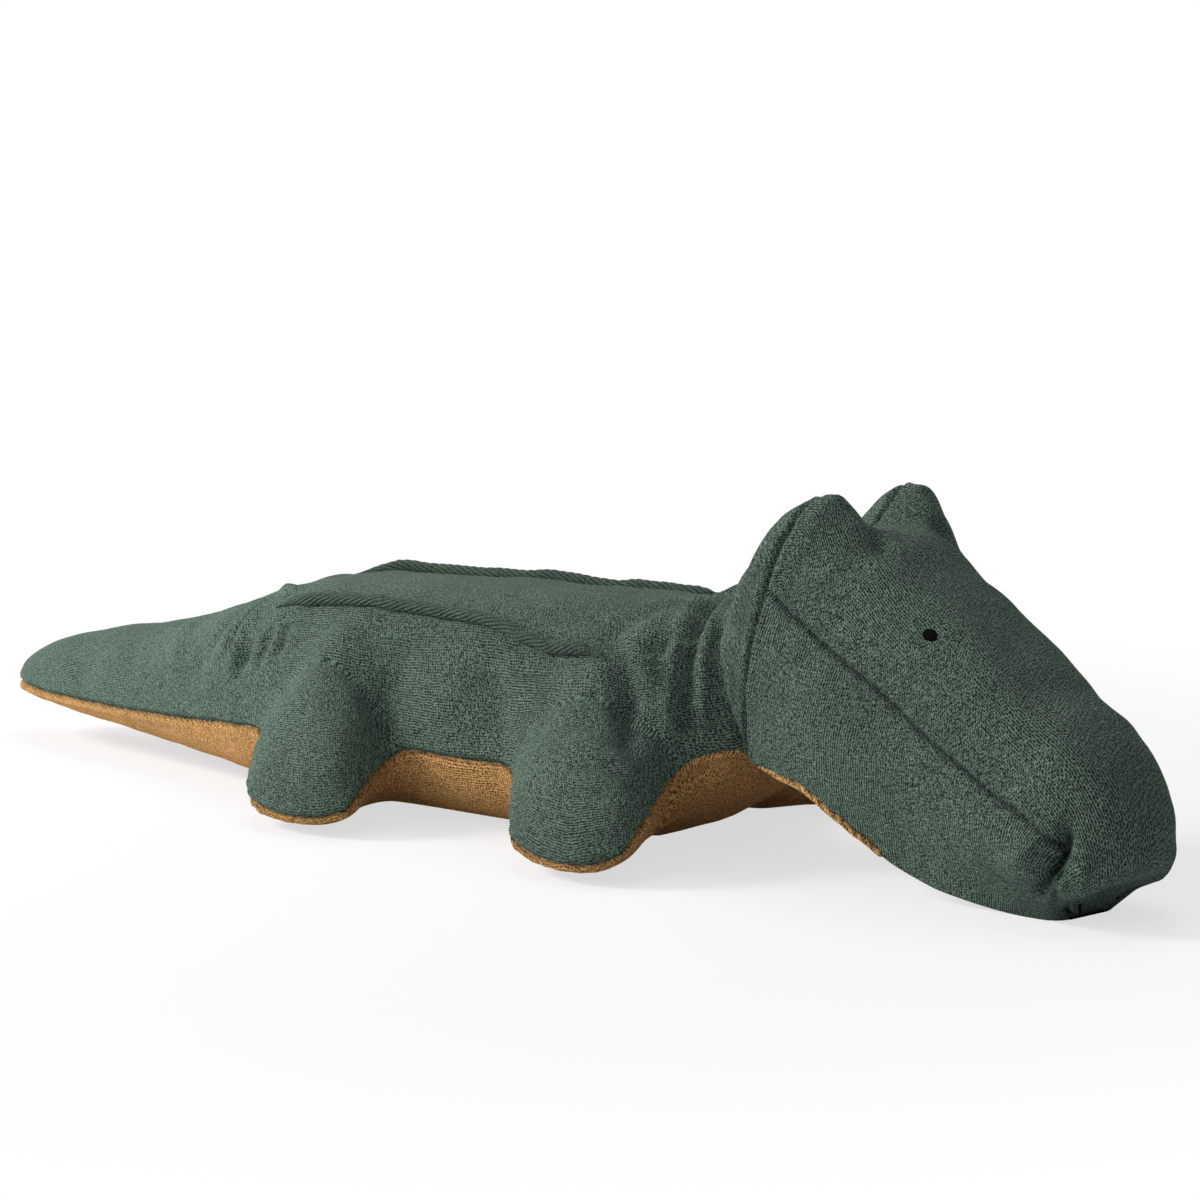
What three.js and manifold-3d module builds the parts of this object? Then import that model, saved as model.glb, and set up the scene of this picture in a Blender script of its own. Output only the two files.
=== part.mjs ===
// Stuffed cloth crocodile lying on its belly. Millimetres: +X to the snout, +Y to its left, +Z up.
// The origin is on the floor under the middle of the belly.

import * as THREE from 'three';
import { mergeVertices } from 'three/addons/utils/BufferGeometryUtils.js';
import Module from 'manifold-3d';

const wasm = await Module();
wasm.setup();

const { clamp, lerp, smoothstep } = THREE.MathUtils;

// Cloth, seams and the bends
const clothThickness = 2;
const seamGap = 0.7;
const fillGap = 0.8;
const jointGap = 0.7;
const restingCut = 0.5;
const restGap = 0.35;
const weldDistance = 0.001;
const roundSides = 32;
// Powers of an even round fall, and the least share of its size that an inner section keeps
const ovalRoundness = 2;
const ovalFullness = 0.5;
const leastKeptShare = 0.2;

// Body from the tail tip to the neck seam
const bodyLength = 468;
const behindOriginShare = 0.647;
const torsoWidth = 118;
const backHeight = 101;
const seamHeight = 32;

// Along the body, half width, side seam, back and belly,
// as shares of bodyLength, half torsoWidth, seamHeight, backHeight and seamHeight
const bodyShares = [
  [0, 0.03, 0.84, 0.29, 0.78],
  [0.01, 0.14, 0.83, 0.35, 0.67],
  [0.036, 0.27, 0.81, 0.43, 0.6],
  [0.088, 0.39, 0.79, 0.51, 0.52],
  [0.156, 0.5, 0.79, 0.575, 0.42],
  [0.242, 0.61, 0.82, 0.645, 0.31],
  [0.327, 0.74, 0.88, 0.76, 0.2],
  [0.391, 0.86, 0.94, 0.87, 0.06],
  [0.477, 0.98, 0.97, 0.95, -0.02],
  [0.583, 1, 1, 0.98, -0.02],
  [0.69, 1, 1, 1, -0.02],
  [0.797, 1, 0.98, 1, -0.02],
  [0.882, 0.97, 1.03, 1, 0.05],
  [0.925, 0.89, 1.2, 1.01, 0.36],
  [0.96, 0.76, 1.42, 1.05, 0.9],
  [1, 0.68, 1.52, 1.07, 1.25],
];
const domeRoundness = 2.5;
const domeFullness = 0.45;
const bellyRoundness = 3;
const blendPower = 4;
// Where a leg's hump starts and is whole, as shares of the way from the middle to the side seam
const humpShares = { upper: 0.2, lower: 0.3, whole: 0.98 };
// How many insets the rows at the tail's tip draw in
const tipDraw = 2.2;

// Bends of the body: the tail's and the neck's upright pivots
const tailPivotShare = 0.327;
const neckPivotShare = 0.968;
// How far the round face of a bend stands out past the body's side
const bendOverrun = 2.2;

// Legs: root and toe places along bodyLength, length sideways from the torso's side
const legRootHalf = 40;
const legRootHeight = 43;
const toeSeamHeight = 8;
const toeHalf = 34;
const rearLegLength = 47;
const frontLegLength = 49;
const legs = [
  { name: 'rear', rootShare: 0.541, toeShare: 0.584, length: rearLegLength },
  { name: 'front', rootShare: 0.853, toeShare: 0.902, length: frontLegLength },
];
// Height of a leg over its seam, from root to toe, as shares of legRootHeight
const legHeightShares = [[0, 1], [0.35, 0.84], [0.7, 0.64], [1, 0.5]];
const legRoundness = 2.4;
const toeRoundness = 4;
const toeSquareShare = 0.4;
// Rows across a leg's root, which the body's rows follow, and rows from its root to its toe
const legRowCount = 6;
const legReachCount = 5;

// Head, from the neck seam forward, turned a little to the crocodile's right
const headLength = 200;
const headWidth = 100;
const headHeight = 140;
const earHeight = 20;
const earWidth = 15;
const earRoundness = 3;
const headYaw = THREE.MathUtils.degToRad(12);
const headSetAside = 5.5;
// Along headLength, lean forward with height, then heights as shares of headHeight and half widths
// as shares of half headWidth: chin; jaw half, jaw; cheek half, cheek; brow half, brow; crest; ear
const headShares = [
  [0.01, -0.26, 0.31, 0.68, 0.34, 0.84, 0.56, 0.68, 0.73, 0.785, 0],
  [0.015, -0.06, 0.285, 0.8, 0.33, 0.96, 0.57, 0.84, 0.815, 0.905, 0.25],
  [0.02, 0.14, 0.27, 0.88, 0.32, 1.02, 0.57, 0.92, 0.83, 0.98, 0.85],
  [0.04, 0.26, 0.265, 0.92, 0.305, 1.04, 0.555, 0.92, 0.8, 1, 1],
  [0.12, 0.22, 0.235, 0.92, 0.28, 1.02, 0.52, 0.9, 0.75, 1, 0.55],
  [0.22, 0.16, 0.195, 0.9, 0.24, 0.98, 0.47, 0.86, 0.685, 0.98, 0.1],
  [0.35, 0.1, 0.135, 0.84, 0.185, 0.92, 0.39, 0.8, 0.6, 0.885, 0],
  [0.5, 0.04, 0.07, 0.76, 0.115, 0.84, 0.3, 0.74, 0.48, 0.765, 0],
  [0.65, 0, 0.02, 0.64, 0.057, 0.76, 0.22, 0.68, 0.37, 0.625, 0],
  [0.72, 0.12, -0.004, 0.58, 0.036, 0.72, 0.18, 0.64, 0.305, 0.54, 0],
  [0.755, 0.32, -0.004, 0.54, 0.032, 0.68, 0.15, 0.6, 0.257, 0.45, 0],
  [0.77, 0.64, -0.004, 0.5, 0.032, 0.64, 0.125, 0.54, 0.21, 0.345, 0],
  [0.775, 1.1, 0, 0.44, 0.036, 0.56, 0.1, 0.46, 0.16, 0.245, 0],
  [0.775, 1.9, 0.012, 0.36, 0.042, 0.44, 0.078, 0.34, 0.105, 0.14, 0],
  [0.77, 1.2, 0.02, 0.3, 0.044, 0.28, 0.052, 0.2, 0.058, 0.064, 0],
];
const gussetSeamRow = 3;
// Step along the head's rows and sides that gives a pad its direction
const nudge = 0.1;
// Half of a seam's opening beside the head's top panel, as a share of one side step
const topSeamShare = 0.012;
const chinRoundness = 2.2;
const chinFullness = 0.7;
const foreheadShare = 0.62;
const foreheadRiseShare = 0.78;

// Back ridges, eyes and nostril stitches
const ridgeWidth = 5;
const ridgeHeight = 4;
const ridgeEndRoundness = 8;
const ridgeStartShare = 0.432;
const ridgeEndShare = 0.825;
// Place across the back from the tail end to the shoulders, as shares of half torsoWidth
const ridgeShares = [[0, 0.26], [0.25, 0.52], [0.5, 0.61], [0.75, 0.68], [1, 0.78]];
// Place on the head as a row of headShares and a side: 0 the crest, 1 the forehead, 2 the brow, 3 the cheek
const eye = { row: 6.5, side: 1.05, length: 6.5, height: 6, thickness: 2 };
const nostrilStitch = { row: 10.4, side: 2.5, length: 3, height: 9, thickness: 1.6 };

const green = new THREE.MeshStandardMaterial({ color: 0x3f5a4e, roughness: 0.95, metalness: 0 });
const caramel = new THREE.MeshStandardMaterial({ color: 0xa8733a, roughness: 0.95, metalness: 0 });
const fibre = new THREE.MeshStandardMaterial({ color: 0xece8de, roughness: 1, metalness: 0 });
const blackThread = new THREE.MeshStandardMaterial({ color: 0x14171a, roughness: 0.6, metalness: 0 });
const greenThread = new THREE.MeshStandardMaterial({ color: 0x1e2d26, roughness: 0.7, metalness: 0 });

// Value of one column at a place along a table, on a smooth curve through its rows
function valueAlong(rows, column, at) {
  const place = clamp(at, rows[0][0], rows[rows.length - 1][0]);
  const next = clamp(rows.findIndex((row) => row[0] >= place), 1, rows.length - 1);
  const slope = (i) => (rows[i + 1][column] - rows[i][column]) / (rows[i + 1][0] - rows[i][0]);
  const tangent = (i) => {
    if (i === 0) return slope(0);
    if (i === rows.length - 1) return slope(i - 1);
    const [before, after] = [slope(i - 1), slope(i)];
    return before * after > 0 ? (2 * before * after) / (before + after) : 0;
  };
  const span = rows[next][0] - rows[next - 1][0];
  const t = (place - rows[next - 1][0]) / span;
  const from = rows[next - 1][column];
  const rise = rows[next][column] - from;
  const [early, late] = [tangent(next - 1) * span - rise, rise - tangent(next) * span];
  return from + rise * t + t * (1 - t) * ((1 - t) * early + t * late);
}

const bodyX = (share) => (share - behindOriginShare) * bodyLength;
const shareAt = (x) => x / bodyLength + behindOriginShare;
const superFall = (q, roundness, fullness) => Math.max(1 - Math.abs(q) ** roundness, 0) ** fullness;
const blend = (a, b) => (a ** blendPower + b ** blendPower) ** (1 / blendPower);

// The body's sizes at x, with the surface moved inward by inset
function bodySection(x, inset) {
  const at = shareAt(x);
  const seam = valueAlong(bodyShares, 2, at) * seamHeight;
  return {
    half: Math.max((valueAlong(bodyShares, 1, at) * torsoWidth) / 2 - inset, seamGap),
    seam,
    rise: Math.max(valueAlong(bodyShares, 3, at) * backHeight - inset - seam, seamGap),
    depth: Math.max(seam - valueAlong(bodyShares, 4, at) * seamHeight - inset, seamGap),
  };
}

// How much of a leg's hump stands at x on the body, 0 to 1
function legShareAt(x, inset) {
  const from = (leg) => (x - bodyX(leg.rootShare)) / (legRootHalf - inset);
  return Math.max(...legs.map((leg) => superFall(from(leg), legRoundness, ovalFullness)));
}

// Points of the body's upper and lower surfaces; across runs from -1 to 1 between the side seams
function bodyUpper(x, across, inset, lift) {
  const { half, seam, rise } = bodySection(x, inset);
  const q = Math.sin((across * Math.PI) / 2);
  const dome = rise * superFall(q, domeRoundness, domeFullness);
  const sideways = smoothstep(Math.abs(q), humpShares.upper, humpShares.whole);
  const hump = (legRootHeight - inset) * legShareAt(x, inset) * sideways;
  return new THREE.Vector3(x, half * q, seam + lift + blend(dome, hump));
}

function bodyLower(x, across, inset, drop) {
  const { half, seam, depth } = bodySection(x, inset);
  const q = Math.sin((across * Math.PI) / 2);
  const belly = depth * superFall(q, bellyRoundness, ovalFullness);
  const sideways = smoothstep(Math.abs(q), humpShares.lower, humpShares.whole);
  const hump = (seam + restingCut - inset) * legShareAt(x, inset) * sideways;
  return new THREE.Vector3(x, half * q, Math.max(seam - drop - blend(belly, hump), inset));
}

// Point of a leg: across its width from -1 to 1, and out from its root, 0, to its toe, 1
function legPoint(leg, side, across, out, inset, shift, upward) {
  const r = Math.sin((across * Math.PI) / 2);
  const e = Math.sin((out * Math.PI) / 2);
  const wide = lerp(r * Math.sqrt(1 - (e * e) / 2), r, toeSquareShare);
  const far = lerp(e * Math.sqrt(1 - (r * r) / 2), e, toeSquareShare);
  const rootX = bodyX(leg.rootShare) + (legRootHalf - inset) * r;
  const root = bodySection(rootX, inset);
  const half = lerp(legRootHalf, toeHalf, far) - inset;
  const x = lerp(bodyX(leg.rootShare), bodyX(leg.toeShare), far) + half * wide;
  const rootY = root.half + inset + jointGap;
  const seam = lerp(root.seam, toeSeamHeight, far);
  const fall = superFall(r, legRoundness, ovalFullness) * superFall(e, toeRoundness, ovalFullness);
  const rise = (valueAlong(legHeightShares, 1, far) * legRootHeight - inset) * fall;
  const depth = (seam + restingCut - inset) * fall;
  const z = upward ? seam + shift + rise : Math.max(seam - shift - depth, inset);
  const toeY = torsoWidth / 2 + leg.length - inset;
  return new THREE.Vector3(x, side * lerp(rootY, toeY, far), z);
}

// Turns the diagonals of a box's far face, so that both faces are split alike
function alignDiagonals(box) {
  const index = box.getIndex();
  const { start, count } = box.groups[box.groups.length - 1];
  for (let i = start; i < start + count; i += 6) {
    const [a, b, d, , c] = index.array.slice(i, i + 6);
    [a, b, c, a, c, d].forEach((corner, k) => index.setX(i + k, corner));
  }
}

// A closed body between two sheets: the faces of a box are moved onto the sheets, row by column
function betweenSheets(rows, columns, upper, lower) {
  const box = new THREE.BoxGeometry(1, 1, 1, rows.length - 1, columns.length - 1, 1);
  alignDiagonals(box);
  const place = box.getAttribute('position');
  for (let i = 0; i < place.count; i += 1) {
    const row = rows[Math.round((place.getX(i) + 0.5) * (rows.length - 1))];
    const column = columns[Math.round((place.getY(i) + 0.5) * (columns.length - 1))];
    const point = place.getZ(i) > 0 ? upper(row, column) : lower(row, column);
    place.setXYZ(i, point.x, point.y, point.z);
  }
  return welded(box);
}

// The same surface with shared vertices and without the triangles that closed up
function welded(geometry) {
  geometry.deleteAttribute('normal');
  geometry.deleteAttribute('uv');
  const merged = mergeVertices(geometry, weldDistance);
  const index = merged.getIndex().array;
  const kept = [];
  for (let i = 0; i < index.length; i += 3) {
    const [a, b, c] = index.slice(i, i + 3);
    if (a !== b && b !== c && c !== a) kept.push(a, b, c);
  }
  merged.setIndex(kept);
  return merged;
}

function toSolid(geometry) {
  const vertProperties = Float32Array.from(geometry.getAttribute('position').array);
  const triVerts = Uint32Array.from(geometry.getIndex().array);
  return new wasm.Manifold(new wasm.Mesh({ numProp: 3, vertProperties, triVerts }));
}

function fromSolid(solid) {
  const mesh = solid.getMesh();
  const geometry = new THREE.BufferGeometry();
  geometry.setAttribute('position', new THREE.BufferAttribute(mesh.vertProperties, 3));
  geometry.setIndex(Array.from(mesh.triVerts));
  return welded(geometry);
}

function mesh(name, geometry, material) {
  geometry.computeVertexNormals();
  const piece = new THREE.Mesh(geometry, material);
  piece.name = name;
  return piece;
}

// Evenly spaced values from first to last
function steps(first, last, count) {
  return Array.from({ length: count + 1 }, (_, i) => lerp(first, last, i / count));
}

// Rows across a leg's root, closer together at its two sides
function legRows(leg) {
  const middle = bodyX(leg.rootShare);
  return steps(-1, 1, legRowCount).map((t) => middle + legRootHalf * Math.sin((t * Math.PI) / 2));
}

// Upright round cutter at x, and a block that reaches away from x on one side of it
function roundCutter(x, radius) {
  const cutter = new THREE.CylinderGeometry(radius, radius, 4 * backHeight, roundSides);
  cutter.rotateX(Math.PI / 2);
  cutter.translate(x, 0, 0);
  return toSolid(welded(cutter));
}

function blockBeyond(x, direction) {
  const block = new THREE.BoxGeometry(bodyLength, 4 * torsoWidth, 4 * backHeight);
  block.translate(x + (direction * bodyLength) / 2, 0, 0);
  return toSolid(welded(block));
}

const tailPivotX = bodyX(tailPivotShare);
const neckPivotX = bodyX(neckPivotShare);
const headX = bodyX(1);
const tailJointRadius = bodySection(tailPivotX, 0).half + bendOverrun;
const neckJointRadius = bodySection(neckPivotX, 0).half + bendOverrun;

// The block in front of the neck seam, which takes the head's place out of the neck
function headBlock() {
  const block = new THREE.BoxGeometry(bodyLength, 4 * torsoWidth, 4 * headHeight);
  const [along, lean, , , jaw] = headShares[0];
  block.translate(bodyLength / 2 - jointGap, 0, 0);
  block.rotateY(Math.atan(lean));
  block.translate(along * headLength, 0, jaw * headHeight);
  block.rotateZ(-headYaw);
  block.translate(headX, headSetAside, 0);
  return toSolid(welded(block));
}

// Panels and filling of one stretch of the body, cut to its place by a function
function bodyStretch(names, rowsFor, columns, fit) {
  const inner = clothThickness;
  const filled = clothThickness + fillGap;
  const half = seamGap / 2;
  const at = (surface, inset, shift) => (row, across) => surface(rowsFor(row, inset), across, inset, shift);
  const rows = Array.from({ length: rowsFor.count }, (_, i) => i);
  const build = (upper, lower) => fromSolid(fit(toSolid(betweenSheets(rows, columns, upper, lower))));
  return [
    mesh(names[0], build(at(bodyUpper, 0, half), at(bodyUpper, inner, half)), green),
    mesh(names[1], build(at(bodyLower, inner, half), at(bodyLower, 0, half)), caramel),
    mesh(names[2], build(at(bodyUpper, filled, 0), at(bodyLower, filled, 0)), fibre),
  ];
}

// Rows of a stretch as a function of row number and inset; only the tail tip draws in with the inset
function rowFinder(places, draw) {
  const last = places.length - 1;
  const find = (row, inset) => places[row] + draw * inset * (1 - row / last);
  find.count = places.length;
  return find;
}

function makeTorso() {
  const [rear, front] = legs;
  const places = [
    ...steps(tailPivotX, legRows(rear)[0], 3).slice(0, -1),
    ...legRows(rear),
    ...steps(legRows(rear)[legRowCount], legRows(front)[0], 3).slice(1, -1),
    ...legRows(front),
    neckPivotX,
  ];
  const tailSocket = roundCutter(tailPivotX, tailJointRadius + jointGap);
  const neckSocket = roundCutter(neckPivotX, neckJointRadius + jointGap);
  const names = ['back_panel', 'belly_panel', 'torso_stuffing'];
  const fit = (solid) => solid.subtract(tailSocket).subtract(neckSocket);
  return bodyStretch(names, rowFinder(places, 0), steps(-1, 1, 10), fit);
}

function makeTail() {
  const early = bodyShares.slice(0, 3).map(([share]) => bodyX(share));
  const places = [...early, ...steps(bodyX(bodyShares[3][0]), tailPivotX + tailJointRadius, 7)];
  const room = roundCutter(tailPivotX, tailJointRadius).add(blockBeyond(tailPivotX, -1));
  const names = ['tail_top_panel', 'tail_under_panel', 'tail_stuffing'];
  return bodyStretch(names, rowFinder(places, tipDraw), steps(-1, 1, 8), (solid) => solid.intersect(room));
}

function makeNeck() {
  const places = steps(neckPivotX - neckJointRadius, bodyX(1), 6);
  const room = roundCutter(neckPivotX, neckJointRadius).add(blockBeyond(neckPivotX, 1)).subtract(headBlock());
  const names = ['neck_top_panel', 'neck_throat_panel', 'neck_stuffing'];
  return bodyStretch(names, rowFinder(places, 0), steps(-1, 1, 8), (solid) => solid.intersect(room));
}

function makeLeg(leg, sideName, side) {
  const filled = clothThickness + fillGap;
  const half = seamGap / 2;
  const across = steps(-1, 1, legRowCount);
  const outward = steps(0, 1, legReachCount);
  const sheet = (inset, shift, upward) => (r, e) => legPoint(leg, side, r * side, e, inset, shift, upward);
  const build = (upper, lower) => betweenSheets(across, outward, upper, lower);
  const name = `${leg.name}_${sideName}_leg`;
  return [
    mesh(`${name}_top`, build(sheet(0, half, true), sheet(clothThickness, half, true)), green),
    mesh(`${name}_sole`, build(sheet(clothThickness, half, false), sheet(0, half, false)), caramel),
    mesh(`${name}_stuffing`, build(sheet(filled, 0, true), sheet(filled, 0, false)), fibre),
  ];
}

// Sizes of the head's cross section at a row of headShares, moved inward by inset
function headSection(row, inset) {
  const [along, lean, chin, jawHalf, jaw, cheekHalf, cheek, browHalf, brow, crest, ear] = headShares[row];
  const width = headWidth / 2;
  const middle = ((jaw + crest) / 2) * headHeight;
  const toNose = row / (headShares.length - 1);
  const rim = [
    [jawHalf * width, jaw * headHeight],
    [cheekHalf * width, cheek * headHeight],
    [browHalf * width, brow * headHeight],
    [browHalf * width * foreheadShare, lerp(brow, crest, foreheadRiseShare) * headHeight],
    [0, crest * headHeight],
  ];
  const drawn = rim.map(([y, z]) => {
    const reach = Math.hypot(y, z - middle);
    const keep = Math.max(1 - inset / reach, leastKeptShare);
    return [y * keep, middle + (z - middle) * keep];
  });
  return {
    drawn,
    x: along * headLength - inset * toNose ** 2,
    lean,
    jaw: jaw * headHeight,
    chin: chin * headHeight,
    ear: ear * earHeight,
  };
}

// Point between control points of a section, on a smooth curve; place runs from 0, the jaw, to 4, the crest
function alongSection(drawn, place) {
  const last = drawn.length - 1;
  const mirror = [-drawn[last - 1][0], drawn[last - 1][1]];
  const below = [2 * drawn[0][0] - drawn[1][0], 2 * drawn[0][1] - drawn[1][1]];
  const all = [below, ...drawn, mirror];
  const i = Math.min(Math.floor(place), last - 1);
  const t = place - i;
  const value = (k) => {
    const [p, q, r, s] = [all[i][k], all[i + 1][k], all[i + 2][k], all[i + 3][k]];
    const cubic = (3 * (q - r) + s - p) * t ** 3;
    return 0.5 * (2 * q + (r - p) * t + (2 * p - 5 * q + 4 * r - s) * t * t + cubic);
  };
  return [value(0), value(1)];
}

// Upper surface of the head: side from -4, the right jaw seam, over 0, the crest, to 4, the left jaw seam
function headUpper(row, side, inset, shift, lift) {
  const { drawn, x, lean, jaw, ear } = headSection(row, inset);
  const [y, z] = alongSection(drawn, 4 - Math.abs(side));
  const browZ = drawn[2][1];
  const peak = Math.exp(-(Math.abs((y - drawn[3][0]) / earWidth) ** earRoundness));
  const earRise = ear * peak * smoothstep(z, browZ - earWidth, browZ + earWidth);
  const height = z + earRise;
  return new THREE.Vector3(x + shift + lean * (height - jaw), Math.sign(side) * y, height + lift);
}

function headLower(row, side, inset, drop) {
  const { drawn, x, lean, jaw, chin } = headSection(row, inset);
  const [half, seam] = drawn[0];
  const q = Math.sin(((side / 4) * Math.PI) / 2);
  const z = seam - drop - Math.max(jaw - chin - inset, 0) * superFall(q, chinRoundness, chinFullness);
  return new THREE.Vector3(x + Math.min(lean, 0) * (z - jaw), half * q, Math.max(z, inset));
}

// Filling of the head, held clear of the seam that turns in under the nose
function makeHeadFilling() {
  const filled = clothThickness + fillGap;
  const rows = steps(0, headShares.length - 3, headShares.length - 3);
  const sides = steps(-4, 4, 16);
  const upper = (row, side) => headUpper(row, side, filled, 0, 0);
  const lower = (row, side) => headLower(row, side, filled, 0);
  const [along, , , , , , , , brow] = headShares[headShares.length - 1];
  const fold = new THREE.BoxGeometry(headLength, headWidth, 2 * (brow * headHeight + 2 * filled));
  fold.translate(along * headLength - filled + headLength / 2, 0, 0);
  return fromSolid(toSolid(betweenSheets(rows, sides, upper, lower)).subtract(toSolid(welded(fold))));
}

// Point of the head's upper surface between two rows
function headBetween(row, side) {
  const before = Math.floor(row);
  const at = (i) => headUpper(i, side, 0, 0, seamGap / 2);
  return at(before).lerp(at(before + 1), row - before);
}

// A small sewn pad on the head: a dome over a disc that lies on the cloth
function makePad(name, pad, sign, material) {
  const { row, side, length, height, thickness } = pad;
  const centre = headBetween(row, sign * side);
  const along = headBetween(row + nudge, sign * side).sub(centre).divideScalar(nudge);
  const aside = headBetween(row, sign * (side + nudge)).sub(centre).divideScalar(nudge);
  const normal = new THREE.Vector3().crossVectors(along, aside).multiplyScalar(sign).normalize();
  const [rowReach, sideReach] = [length / 2 / along.length(), height / 2 / aside.length()];
  const lie = (above) => (a, b) => {
    const point = headBetween(
      row + rowReach * a * Math.sqrt(1 - (b * b) / 2),
      sign * side + sideReach * b * Math.sqrt(1 - (a * a) / 2),
    );
    const dome = superFall(a, ovalRoundness, ovalFullness) * superFall(b, ovalRoundness, ovalFullness);
    return point.addScaledVector(normal, restGap + above * thickness * dome);
  };
  const span = steps(-1, 1, 4);
  return mesh(name, betweenSheets(span, span, lie(1), lie(0)), material);
}

function makeHead() {
  const rowsBetween = (first, last) => steps(first, last, last - first);
  const lastRow = headShares.length - 1;
  const half = seamGap / 2;
  const rear = rowsBetween(0, gussetSeamRow);
  const main = rowsBetween(gussetSeamRow, lastRow);
  const all = rowsBetween(0, lastRow);
  const panel = (inset, shift) => (row, side) => headUpper(row, side, inset, shift(row), half);
  const skin = (rows, sides, shift) => (
    betweenSheets(rows, sides, panel(0, shift), panel(clothThickness, shift))
  );
  const ahead = (row) => (row === gussetSeamRow ? half : 0);
  const behind = (row) => (row === gussetSeamRow ? -half : 0);
  const chin = (inset) => (row, side) => headLower(row, side, inset, half);
  const head = new THREE.Group();
  head.position.set(headX, headSetAside, 0);
  head.rotation.z = -headYaw;
  head.add(
    mesh('head_top_panel', skin(main, steps(-2 + topSeamShare, 2 - topSeamShare, 8), ahead), green),
    mesh('head_right_cheek', skin(main, steps(-4, -2 - topSeamShare, 4), ahead), green),
    mesh('head_left_cheek', skin(main, steps(2 + topSeamShare, 4, 4), ahead), green),
    mesh('head_back_gusset', skin(rear, steps(-4, 4, 16), behind), green),
    mesh('chin_panel', betweenSheets(all, steps(-4, 4, 4), chin(clothThickness), chin(0)), caramel),
    mesh('head_stuffing', makeHeadFilling(), fibre),
    makePad('eye_left', eye, 1, blackThread),
    makePad('eye_right', eye, -1, blackThread),
    makePad('nostril_stitch_left', nostrilStitch, 1, greenThread),
    makePad('nostril_stitch_right', nostrilStitch, -1, greenThread),
  );
  return head;
}

// Two pinched folds of cloth along the back, each lying on the back panel
function makeRidges() {
  const places = steps(ridgeStartShare, ridgeEndShare, 14);
  const sides = steps(-1, 1, 4);
  const lie = (sign, above) => (share, side) => {
    const along = (share - ridgeStartShare) / (ridgeEndShare - ridgeStartShare);
    const x = bodyX(share);
    const { half } = bodySection(x, 0);
    const y = valueAlong(ridgeShares, 1, along) * (torsoWidth / 2) + (side * ridgeWidth) / 2;
    const across = (Math.asin(y / half) * 2) / Math.PI;
    const point = bodyUpper(x, sign * across, 0, seamGap / 2 + restGap);
    const taper = superFall(2 * along - 1, ridgeEndRoundness, ovalFullness);
    point.z += above * ridgeHeight * taper * superFall(side, ovalRoundness, ovalFullness);
    return point;
  };
  return [['left', 1], ['right', -1]].map(([name, sign]) => {
    const upper = (share, side) => lie(sign, 1)(share, side * sign);
    const lower = (share, side) => lie(sign, 0)(share, side * sign);
    return mesh(`back_ridge_${name}`, betweenSheets(places, sides, upper, lower), green);
  });
}

const crocodile = new THREE.Group();
crocodile.add(...makeTorso(), ...makeRidges(), ...makeTail(), ...makeNeck());
for (const leg of legs) {
  crocodile.add(...makeLeg(leg, 'left', 1), ...makeLeg(leg, 'right', -1));
}
crocodile.add(makeHead());

export default crocodile;
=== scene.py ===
"""Stuffed terry-cloth crocodile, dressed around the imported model. Metres, +X to the snout, +Z up."""

import logging
import math
from dataclasses import dataclass, field, replace
from enum import Enum, IntEnum
from typing import Sequence

import bmesh
import bpy
import numpy as np
from mathutils import Matrix, Vector
from mathutils.bvhtree import BVHTree
from mathutils.kdtree import KDTree


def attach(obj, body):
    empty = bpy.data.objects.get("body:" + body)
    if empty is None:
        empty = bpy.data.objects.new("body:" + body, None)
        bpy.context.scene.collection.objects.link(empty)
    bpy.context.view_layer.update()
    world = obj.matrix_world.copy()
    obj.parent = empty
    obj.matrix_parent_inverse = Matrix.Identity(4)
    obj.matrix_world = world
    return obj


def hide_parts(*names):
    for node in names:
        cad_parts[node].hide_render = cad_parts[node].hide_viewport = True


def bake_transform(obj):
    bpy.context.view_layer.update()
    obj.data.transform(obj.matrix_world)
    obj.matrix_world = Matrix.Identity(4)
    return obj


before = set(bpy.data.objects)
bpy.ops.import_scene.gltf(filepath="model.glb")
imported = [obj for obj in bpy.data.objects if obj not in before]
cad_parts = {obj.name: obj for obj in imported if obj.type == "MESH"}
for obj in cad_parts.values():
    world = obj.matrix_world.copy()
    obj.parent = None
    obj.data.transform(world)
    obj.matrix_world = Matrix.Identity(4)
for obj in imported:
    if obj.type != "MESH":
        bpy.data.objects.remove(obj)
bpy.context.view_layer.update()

log = logging.getLogger("crocodile")

MM = 0.001
BODY_LENGTH = 0.468
BEHIND_ORIGIN = 0.647
TORSO_WIDTH = 0.118
BACK_HEIGHT = 0.101
SEAM_HEIGHT = 0.032
RESTING_CUT = 0.0005
LEG_ROOT_HALF = 0.040
LEG_ROOT_HEIGHT = 0.043
ROOT_HUMP = 0.84
ROOT_FULLNESS = 1.0
LEAST_RISE = 0.7 * MM

# Where the back's cloth meets the tail's and the neck's, and where the neck starts to fit the head
TAIL_CUT, NECK_CUT = -0.0985, 0.0945
NECK_FIT_STARTS = (0.100, 0.1366)
TAIL_TIP_OUT, TAIL_TIP_HEIGHT = 0.0012, 0.0265

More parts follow.
